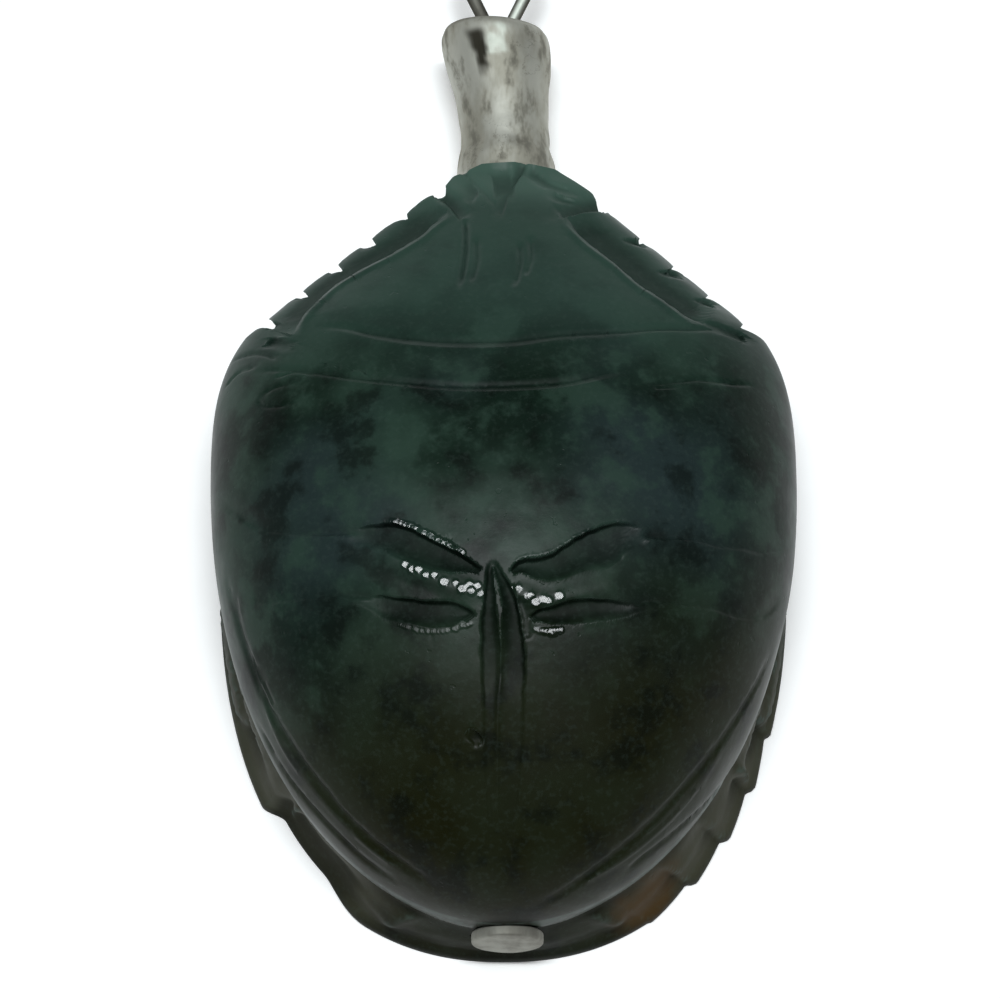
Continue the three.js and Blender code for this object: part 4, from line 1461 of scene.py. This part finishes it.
    def wall_relief(self, points: Array) -> Array:
        """Works out the relief of the wall: legs with their hairs, hollows between them, and ribs.

        Args:
            points: rows of x, y, z on the wall in millimetres.

        Returns:
            How far each point stands out in millimetres.
        """
        y, z = points[:, 1], points[:, 2]
        nearest = np.min([leg.distance(y, z) / leg.radius for leg in self.legs], axis=0)
        relief = (self.leg_proud * (1 - smooth_step(0.6, 1.0, nearest))
                  - self.hollow * smooth_step(1.0, 1.6, nearest))
        hairs = (np.abs(((y * 0.9 + z * 0.5) / 0.5) % 1.0 - 0.5) < 0.16) & (nearest < 0.95)
        relief = relief - 0.02 * hairs
        relief = relief * mix(0.25, 1.0, smooth_step(-7.0, -5.0, y))
        ribs = np.zeros(len(points))
        for side, place in self.ribs:
            ridge = np.exp(-((y - place) / self.rib_width) ** 2) * (np.sign(points[:, 0]) == side)
            ribs += self.rib_height * ridge * (1 - smooth_step(1.9, 2.3, z))
        away_from_base = smooth_step(self.band - 0.5, self.band + 0.5, z)
        on_side = smooth_step(0.12, 0.35, np.abs(points[:, 0]) / self.form.half_width)
        return (relief * away_from_base + ribs * smooth_step(0.5, 1.1, z)) * on_side

    def base_wear(self, points: Array) -> Array:
        """Works out the wear of the base: a long hollow on the left, steps on the right, and ripples.

        Args:
            points: rows of x, y, z on the wall in millimetres.

        Returns:
            How far each point stands out in millimetres, below zero where it is worn in.
        """
        x, y, z = points.T
        left = (x < 0) * smooth_step(-10.2, -8.9, y) * (1 - smooth_step(-7.4, -6.75, y)) * 0.4
        right = np.zeros(len(points))
        for high, low in zip(self.leg_ends, self.leg_ends[1:]):
            t = (high - y) / (high - low)
            slope = mix(0.17, -0.06, np.clip(t, 0, 1))
            right += slope * smooth_step(0.0, 0.12, t) * (1 - smooth_step(0.92, 1.0, t)) * (x > 0)
        low = 1 - smooth_step(1.3, 2.4, z)
        ripple = fine_noise(points, 1.3) * 0.04 + fine_noise(points, 0.5, 3.0) * 0.02
        return -(left + right) * low + ripple * smooth_step(0.15, 0.5, z) * (1 - smooth_step(2.2, 2.8, z))

    def rub(self, points: Array, uncut: Array) -> Array:
        """Turns the rubbed flats in the stone's points and says how polished each point is.

        Args:
            points: rows of x, y, z in millimetres, changed in place.
            uncut: true for each point that no deep cut has reached.

        Returns:
            The polish of each point, from 0 to 1.
        """
        polish = np.zeros(len(points))
        for flat in Carving(self.form).flats():
            centre = np.array([flat.x * self.form.half_width, flat.y * self.form.half_length])
            away = np.linalg.norm(points[:, :2] - centre, axis=1)
            near = np.flatnonzero((away < 1.3 * flat.radius) & uncut)
            if not len(near):
                continue
            height = points[near[away[near].argmin()], 2] + self.flat_lift
            target = height + math.tan(math.radians(self.flat_tip)) * (points[near, 1] - centre[1])
            weight = 1 - smooth_step(0.85 * flat.radius, 1.3 * flat.radius, away[near])
            points[near, 2] = mix(points[near, 2], target, weight)
            polish[near] = np.maximum(polish[near], weight * flat.polish)
        return polish

    def shape(self, piece: bpy.types.Object) -> None:
        """Moves the blank's points to the carved form and stores depth, lips paler from wear and painted
        sheen, and polish.

        Args:
            piece: the blank.
        """
        mesh = piece.data
        grid = get_points(mesh)
        level = np.clip(-grid[:, 2], 0, 1)
        edge = self.outline(self.cells * 4)
        back = self.bend_over_back(grid, edge)
        is_wall = level > 1e-5
        points = back.copy()
        points[is_wall] = self.wall(back[is_wall], level[is_wall])
        set_points(mesh, points)
        normals = get_normals(mesh)
        carved = Carving(self.form).depth(back)
        carved[is_wall] = 0
        # A cut's floor is a little rough, but what stands up is smooth.
        rough = fine_noise(points, 0.35, 5.0)
        carved = np.where(carved > 0, carved * (1 + 0.05 * rough), carved)
        flow = np.zeros(len(points))
        flow[is_wall] = self.wall_relief(points)[is_wall] + self.base_wear(points)[is_wall]
        # The wall moves sideways only, so that its rows stay level.
        flat = normals * (1, 1, 0)
        sideways = flat / np.maximum(np.linalg.norm(flat, axis=1), 1e-6)[:, None]
        moved = points - normals * carved[:, None]
        moved[is_wall] = points[is_wall] + sideways[is_wall] * flow[is_wall, None]
        # The back keeps the slight unevenness of hand grinding.
        moved += normals * (fine_noise(points, 2.4, 9.0) * 0.03 * (~is_wall))[:, None]
        moved[level > 1 - 1e-5, 2] = 0
        polish = self.rub(moved, (~is_wall) & (carved < 0.05))
        set_points(mesh, moved * MM)
        # The cut depth also darkens the cuts and the wall's hollows in the material, as painted shade.
        depth = np.where(is_wall, np.clip(-flow, 0, None) * 0.6, np.clip(carved, 0, None))
        # Convex lips are stored paler, partly wear and partly painted sheen; the rim row of the tail half
        # adds a painted highlight.
        lips = height_over_neighbours(mesh, np.where(is_wall, flow, -carved))
        rim_row = (is_wall & (level < 0.13)) | (np.abs(grid[:, :2]).max(1) > 0.985) & ~is_wall
        put_attribute(mesh, "cut", depth)
        put_attribute(mesh, "lip", np.clip(lips, 0, None) + 0.024 * (rim_row & (back[:, 1] < 0)))
        put_attribute(mesh, "polish", polish)

    def close_seal_face(self, piece: bpy.types.Object) -> None:
        """Closes the seal face: a plane edge, a sunk border line and the flat middle.

        Args:
            piece: the stone, open below.
        """
        mesh = piece.data
        make_active(piece)
        flat = get_points(mesh)[get_edges(mesh)][:, :, 2].max(1) < 1e-7
        select_only(mesh, flat, "edges")
        bpy.ops.object.mode_set(mode="EDIT")
        bpy.ops.mesh.select_mode(type="EDGE")
        bpy.ops.mesh.edge_face_add()
        bpy.ops.mesh.select_mode(type="FACE")
        for scale, lift in self.border:
            bpy.ops.mesh.extrude_region_move(TRANSFORM_OT_translate={"value": (0, 0, lift)})
            bpy.ops.transform.resize(value=(scale, scale, 1))
        bpy.ops.mesh.select_all(action="SELECT")
        bpy.ops.mesh.normals_make_consistent(inside=False)
        bpy.ops.object.mode_set(mode="OBJECT")

    def drill(self, piece: bpy.types.Object) -> None:
        """Drills the bore and cuts the two seats with one stepped cutter.

        Args:
            piece: the closed stone.
        """
        deselect()
        low, high = self.seat_y
        bpy.ops.mesh.primitive_cylinder_add(vertices=48, radius=self.bore * MM, depth=(high - low) * MM,
                                            location=(self.axis[0] * MM, (low + high) / 2 * MM,
                                                      self.axis[1] * MM),
                                            rotation=(math.pi / 2, 0, 0))
        cutter = bpy.context.object
        bpy.ops.object.transform_apply(location=True, rotation=True, scale=True)
        for sign, place, radius in ((1, high, self.tube_seat), (-1, low, self.head_seat)):
            centres = np.array([face.center for face in cutter.data.polygons])
            chosen = np.abs(centres[:, 1] - place * MM) < 1e-6
            select_only(cutter.data, chosen, "polygons")
            bpy.ops.object.mode_set(mode="EDIT")
            bpy.ops.mesh.select_mode(type="FACE")
            bpy.ops.mesh.extrude_region_move()
            ratio = radius / self.bore
            bpy.ops.transform.resize(value=(ratio, 1, ratio))
            bpy.ops.mesh.extrude_region_move(TRANSFORM_OT_translate={
                "value": (0, sign * self.overcut * MM, 0)})
            bpy.ops.object.mode_set(mode="OBJECT")
        apply_modifier(piece, "BOOLEAN", operation="DIFFERENCE", object=cutter, solver="EXACT")
        bpy.data.objects.remove(cutter)

    def build(self, material: bpy.types.Material) -> None:
        """Makes the finished stone.

        Args:
            material: its finish.
        """
        piece = self.blank()
        self.shape(piece)
        self.close_seal_face(piece)
        self.drill(piece)
        make_active(piece)
        bpy.ops.object.shade_smooth_by_angle(angle=math.radians(50))
        hand_over(piece, "scarab_stone", material)


@dataclass
class SilverTube:
    """The flared tube on the head: beaten sheet, a little bent, with a rolled mouth.

    Lengths are millimetres.

    Attributes:
        start: where the tube starts along the stone.
        length: its length.
        radius: its radius at the foot.
        wall: thickness of the sheet.
        lean: how far its mouth leans to the left.
        sides: faces round it.
        rows: faces along it.
        shares: shares of its length where the flare is given.
        flare: its radius there, as shares of the radius at the foot.
    """

    start: float = 11.0
    length: float = 4.75
    radius: float = 1.42
    wall: float = 0.35
    lean: float = 0.38
    sides: int = 112
    rows: int = 90
    shares: tuple[float, ...] = (0.0, 0.13, 0.26, 0.4, 0.6, 0.78, 0.92, 1.0)
    flare: tuple[float, ...] = (1.0, 0.986, 0.91, 0.895, 0.955, 1.055, 1.1, 1.06)

    def middle(self, share: Array, axis: Share) -> Array:
        """Returns x of the tube's middle line at shares of its length, for x and z of the bore."""
        return axis[0] - self.lean * share ** 1.8

    def roll(self) -> bpy.types.Object:
        """Makes an open cylinder of unit radius and height, in even rows.

        Returns:
            The mesh object.
        """
        deselect()
        bpy.ops.mesh.primitive_cylinder_add(vertices=self.sides, radius=1, depth=1, end_fill_type="NOTHING",
                                            location=(0, 0, 0.5))
        piece = bpy.context.object
        bpy.ops.object.transform_apply(location=True)
        piece.name = "silver_tube_beaten"
        select_only(piece.data, long_way(piece.data), "edges")
        bpy.ops.object.mode_set(mode="EDIT")
        bpy.ops.mesh.subdivide(number_cuts=self.rows - 1)
        bpy.ops.object.mode_set(mode="OBJECT")
        return piece

    def beat(self, piece: bpy.types.Object, axis: Share) -> None:
        """Gives the cylinder its flare, lean, dents and crimp, and the sheet its thickness.

        Args:
            piece: the open cylinder.
            axis: x and z of the bore in millimetres.
        """
        grid = get_points(piece.data)
        t = np.clip(grid[:, 2], 0, 1)
        angle = np.arctan2(grid[:, 1], grid[:, 0])
        smooth = through(np.column_stack([self.shares, self.flare]), 80)
        radius = self.radius * np.interp(t, smooth[:, 0], smooth[:, 1])
        around = np.column_stack([np.cos(angle) * 1.2, np.sin(angle) * 1.2, t * self.length])
        radius += fine_noise(around, 0.9) * 0.025 + fine_noise(around, 0.4, 4.0) * 0.008
        radius += 0.05 * smooth_step(0.035, 0.01, t) - 0.045 * smooth_step(0.965, 1.0, t)
        crimp = np.exp(-((t - 0.22) / 0.05) ** 2) * 0.05 * (1 + np.sin(5 * angle + 1))
        radius -= crimp
        uneven_mouth = 0.05 * np.sin(2 * angle + 0.7) * smooth_step(0.8, 1.0, t)
        places = np.column_stack([self.middle(t, axis) + radius * np.cos(angle),
                                  self.start + t * self.length + uneven_mouth,
                                  axis[1] - radius * np.sin(angle)])
        set_points(piece.data, places * MM)
        make_active(piece)
        bpy.ops.object.mode_set(mode="EDIT")
        bpy.ops.mesh.select_all(action="SELECT")
        bpy.ops.mesh.normals_make_consistent(inside=False)
        bpy.ops.object.mode_set(mode="OBJECT")
        apply_modifier(piece, "SOLIDIFY", thickness=self.wall * MM, offset=-1.0)
        apply_modifier(piece, "BEVEL", width=0.13 * MM, segments=3, limit_method="ANGLE",
                       angle_limit=math.radians(50))

    def age(self, piece: bpy.types.Object, axis: Share) -> None:
        """Stores the tube's stains, a painted dark reflection among them, and its painted highlights.

        Args:
            piece: the beaten tube.
            axis: x and z of the bore in millimetres.
        """
        points = get_points(piece.data) / MM
        run = (points[:, 1] - self.start) / self.length
        inner = np.hypot(points[:, 0] - self.middle(np.clip(run, 0, 1), axis),
                         points[:, 2] - axis[1]) < self.radius * 0.95 - self.wall * 0.7
        above = (points[:, 2] > axis[1]) & ~inner
        # All patches share one ragged edge.
        x = points[:, 0] + fine_noise(points, 0.4, 51.0) * 0.12
        y = points[:, 1] + fine_noise(points, 0.5, 57.0) * 0.2
        # A dark wedge that narrows away from the mouth, painted as a dark reflection, and a faint brown cloud
        # at its right.
        down = np.clip((15.35 - y) / 1.3, 0, 1)
        wedge = np.abs(x - mix(-0.8, -0.52, down)) / mix(0.3, 0.12, down)
        wedge = (1 - smooth_step(0.5, 1.2, wedge)) * smooth_step(15.45, 15.1, y) * smooth_step(13.95, 14.2, y)
        brown = np.exp(-((x - 0.65) / 0.35) ** 2 - ((y - 15.0) / 0.6) ** 2)
        stain_and_shade = 0.9 * inner + (0.95 * wedge + 0.25 * brown) * above + 0.35 * smooth_step(0.97, 1.0, run)
        put_attribute(piece.data, "stain_and_shade", np.clip(stain_and_shade, 0, 1))
        # Painted highlights: a near-white patch between the two, and a strip at the foot of the tube.
        patch = smooth_step(0.34, 0.2, np.abs(x + 0.2)) * smooth_step(0.5, 0.34, np.abs(y - 15.0))
        foot = smooth_step(0.03, 0.01, run) * smooth_step(-0.3, 0.0, points[:, 0])
        patchy = smooth_step(-0.3, 0.2, fine_noise(points, 0.35, 31.0))
        put_attribute(piece.data, "painted_highlight", (0.7 * patch * patchy + foot) * above)

    def build(self, axis: Share, material: bpy.types.Material) -> None:
        """Makes the finished tube.

        Args:
            axis: x and z of the bore in millimetres.
            material: its finish.
        """
        piece = self.roll()
        self.beat(piece, axis)
        self.age(piece, axis)
        bpy.ops.object.shade_smooth_by_angle(angle=math.radians(45))
        hand_over(piece, "silver_tube", material)


@dataclass
class Headpin:
    """The silver pin: a flat head at the tail, the wire in the bore and the loop beyond the tube.

    Lengths are millimetres.

    Attributes:
        wire: radius of the wire.
        head_radius: radius of the head.
        head_thickness: its thickness.
        head_y: where its inner side lies along the stone.
        mouth_y: where the tube's mouth lies.
        loop_radius: radius of the loop's middle line.
        loop_angle: how wide the loop's fork opens, in degrees from its middle line.
        loop_shift: how far the loop stands to the left of the bore.
        returned: length of wire that is turned back into the tube.
    """

    wire: float = 0.19
    head_radius: float = 0.975
    head_thickness: float = 0.32
    head_y: float = -10.9
    mouth_y: float = 15.75
    loop_radius: float = 1.0
    loop_angle: float = 30.6
    loop_shift: float = -0.24
    returned: float = 1.0

    def path(self, axis: Share) -> Array:
        """Draws the middle line of the wire, from the head through the bore and round the loop.

        Args:
            axis: x and z of the bore in millimetres.

        Returns:
            Rows of x, y, z in millimetres.
        """
        middle = axis[0] + self.loop_shift
        half_gap = self.wire * 1.01
        angle = math.radians(self.loop_angle)
        fork = self.mouth_y + 0.05
        centre = fork + self.loop_radius / math.sin(angle)
        plan = [(axis[0], self.head_y - self.head_thickness / 2), (axis[0], fork - self.returned - 1.5),
                (mix(axis[0], middle + half_gap, 0.5), fork - self.returned - 0.7),
                (middle + half_gap, fork - self.returned), (middle + half_gap, fork)]
        for a in np.linspace(-angle, math.pi + angle, 40):
            plan.append((middle + self.loop_radius * math.cos(a), centre + self.loop_radius * math.sin(a)))
        plan += [(middle - half_gap, fork), (middle - half_gap, fork - self.returned)]
        return np.array([(x, y, axis[1]) for x, y in plan])

    def draw(self, axis: Share) -> bpy.types.Object:
        """Sweeps the wire along its path.

        Args:
            axis: x and z of the bore in millimetres.

        Returns:
            The wire as a mesh object.
        """
        path = self.path(axis)
        curve = bpy.data.curves.new("wire_path", "CURVE")
        curve.dimensions = "3D"
        curve.bevel_depth = self.wire * MM
        curve.bevel_resolution = 5
        curve.use_fill_caps = True
        line = curve.splines.new("POLY")
        line.points.add(len(path) - 1)
        for point, place in zip(line.points, path):
            point.co = (*(place * MM), 1.0)
        piece = bpy.data.objects.new("silver_headpin_drawn", curve)
        bpy.context.collection.objects.link(piece)
        make_active(piece)
        bpy.ops.object.convert(target="MESH")
        return bpy.context.object

    def join_head(self, piece: bpy.types.Object, axis: Share) -> None:
        """Joins the flat head to the wire's end.

        Args:
            piece: the wire.
            axis: x and z of the bore in millimetres.
        """
        deselect()
        middle = self.head_y - self.head_thickness / 2
        bpy.ops.mesh.primitive_cylinder_add(vertices=72, radius=self.head_radius * MM,
                                            depth=self.head_thickness * MM,
                                            location=(axis[0] * MM, middle * MM, axis[1] * MM),
                                            rotation=(math.pi / 2, 0, 0))
        head = bpy.context.object
        bpy.ops.object.transform_apply(location=True, rotation=True, scale=True)
        apply_modifier(head, "BEVEL", width=0.08 * MM, segments=4, limit_method="ANGLE",
                       angle_limit=math.radians(50))
        apply_modifier(piece, "BOOLEAN", operation="UNION", object=head, solver="EXACT")
        bpy.data.objects.remove(head)

    def age(self, piece: bpy.types.Object, axis: Share) -> None:
        """Dents the head's outer face and stores the pin's stains and painted shade, and its painted
        highlights.

        Args:
            piece: the wire with its head.
            axis: x and z of the bore in millimetres.
        """
        mesh = piece.data
        points = get_points(mesh) / MM
        in_loop = smooth_step(self.mouth_y - 0.2, self.mouth_y + 0.1, points[:, 1])
        left = points[:, 0] < axis[0] + self.loop_shift
        dents = fine_noise(points, 0.8) * 0.012
        outer = points[:, 1] < self.head_y - self.head_thickness + 0.02
        points[outer, 1] += dents[outer]
        set_points(mesh, points * MM)
        # The loop has a painted highlight along the top of its right arm and painted shade on the sides of
        # both arms, and its left arm is more tarnished.
        edges = 1 - smooth_step(0.7, 0.97, get_normals(mesh)[:, 2])
        stain_and_shade = in_loop * np.maximum(np.where(left, 0.6, 0.0), edges)
        stain_and_shade += 0.45 * (points[:, 1] < self.head_y + 0.05)
        put_attribute(mesh, "stain_and_shade", np.clip(stain_and_shade, 0, 1))
        put_attribute(mesh, "painted_highlight", in_loop * ~left * (1 - edges))

    def build(self, axis: Share, material: bpy.types.Material) -> None:
        """Makes the finished pin.

        Args:
            axis: x and z of the bore in millimetres.
            material: its finish.
        """
        piece = self.draw(axis)
        self.join_head(piece, axis)
        self.age(piece, axis)
        make_active(piece)
        bpy.ops.object.shade_smooth_by_angle(angle=math.radians(40))
        hand_over(piece, "silver_headpin", material)


@dataclass(frozen=True)
class Lamp:
    """An oval soft light that faces the seal.

    Attributes:
        name: the light's name.
        place: where it stands, in metres.
        size: its width and depth in metres.
        power: its power in watts.
        shade: its screen colour.
    """

    name: str
    place: tuple[float, float, float]
    size: tuple[float, float]
    power: float
    shade: str

    def build(self) -> None:
        """Adds the light.

        It is an ellipse, so that its mirror image in the polish has no corners.
        """
        light = bpy.data.lights.new(self.name, "AREA")
        light.shape = "ELLIPSE"
        light.size, light.size_y = self.size
        light.energy = self.power
        light.color = colour(self.shade)[:3]
        lamp = bpy.data.objects.new(self.name, light)
        lamp.location = self.place
        lamp.rotation_euler = (-Vector(self.place)).to_track_quat("-Z", "Y").to_euler()
        bpy.context.collection.objects.link(lamp)


@dataclass(frozen=True)
class Studio:
    """Pale floor, soft lights and the camera, which looks down on the seal from above its tail.

    Lengths are metres, but for the lens.

    Attributes:
        tilt: how far the camera leans from straight down, in degrees.
        distance: how far it is from what it looks at.
        target: what it looks at.
        lens: its focal length in millimetres.
        lamps: a soft box that fills the back's top, and a narrow strip that the worn lips mirror.
        sky: screen colour of the light from all round.
        sky_strength: its strength.
    """

    tilt: float = 20.0
    distance: float = 0.13
    target: tuple[float, float, float] = (-0.0001, 0.00158, 0.002)
    lens: float = 167.8
    lamps: tuple[Lamp, ...] = (Lamp("soft_box_above", (0.0, 0.002, 0.6), (0.24, 0.12), 1.2, "dce8f0"),
                               Lamp("strip_above", (0.0, -0.012, 0.6), (0.3, 0.03), 2.3, "f6f8f8"))
    sky: str = "ebedea"
    sky_strength: float = 0.13

    def floor(self) -> None:
        """Adds the pale floor that the seal lies on.

        It glows a little, so that it stays white round the seal's soft shadow.
        """
        deselect()
        bpy.ops.mesh.primitive_plane_add(size=2.0, location=(0, 0, -0.00002))
        floor = bpy.context.object
        floor.name = "studio_floor"
        # Matt white paper: an even pale ground with no glint.
        paint = new_paint("matt_white_paper")
        place = paint.add("ShaderNodeTexCoord", output="Object")
        fibre = paint.add("ShaderNodeTexNoise", {"Vector": place, "Scale": blotches(0.6), "Detail": 3.0})
        shade = paint.add("ShaderNodeMix", {0: fibre, 6: colour("f4f4f3"), 7: colour("fafafa")}, 2,
                          data_type="RGBA")
        floor.data.materials.append(paint.finish({
            "Base Color": shade, "Roughness": 0.9, "Specular IOR Level": 0.1,
            "Emission Color": colour("ffffff"), "Emission Strength": 0.2}))

    def camera(self) -> None:
        """Adds the camera at the photo's viewing angle.

        It is far off with a long lens, as the photo shows little perspective.
        """
        tilt = math.radians(self.tilt)
        away = Vector((0, -math.sin(tilt), math.cos(tilt)))
        camera = bpy.data.cameras.new("camera")
        camera.lens = self.lens
        camera.sensor_width = 36.0
        camera.sensor_fit = "HORIZONTAL"
        camera.clip_start = 0.01
        holder = bpy.data.objects.new("camera", camera)
        holder.location = Vector(self.target) + away * self.distance
        holder.rotation_euler = (tilt, 0, 0)
        bpy.context.collection.objects.link(holder)
        bpy.context.scene.camera = holder

    def build(self) -> None:
        """Makes the floor, the lights, the sky and the camera.

        Colours are shown as they are, without a film curve.
        """
        self.floor()
        for lamp in self.lamps:
            lamp.build()
        world = bpy.data.worlds.new("pale_sky")
        world.use_nodes = True
        background = world.node_tree.nodes["Background"]
        background.inputs["Color"].default_value = colour(self.sky)
        background.inputs["Strength"].default_value = self.sky_strength
        bpy.context.scene.world = world
        bpy.context.scene.view_settings.view_transform = "Standard"
        self.camera()


def main() -> None:
    """Builds the three pieces and the studio.

    The tube and the pin take the bore's place from the stone.
    """
    logging.basicConfig(level=logging.INFO, format="%(message)s")
    stone = ScarabStone()
    stone.build(JasperFinish().make())
    SilverTube().build(stone.axis, SilverFinish(SilverWork.HAMMERED).make())
    Headpin().build(stone.axis, SilverFinish(SilverWork.DRAWN, dull="a6a49c", tarnish=0.12, gloss=0.5).make())
    Studio().build()


if __name__ == "__main__":
    main()
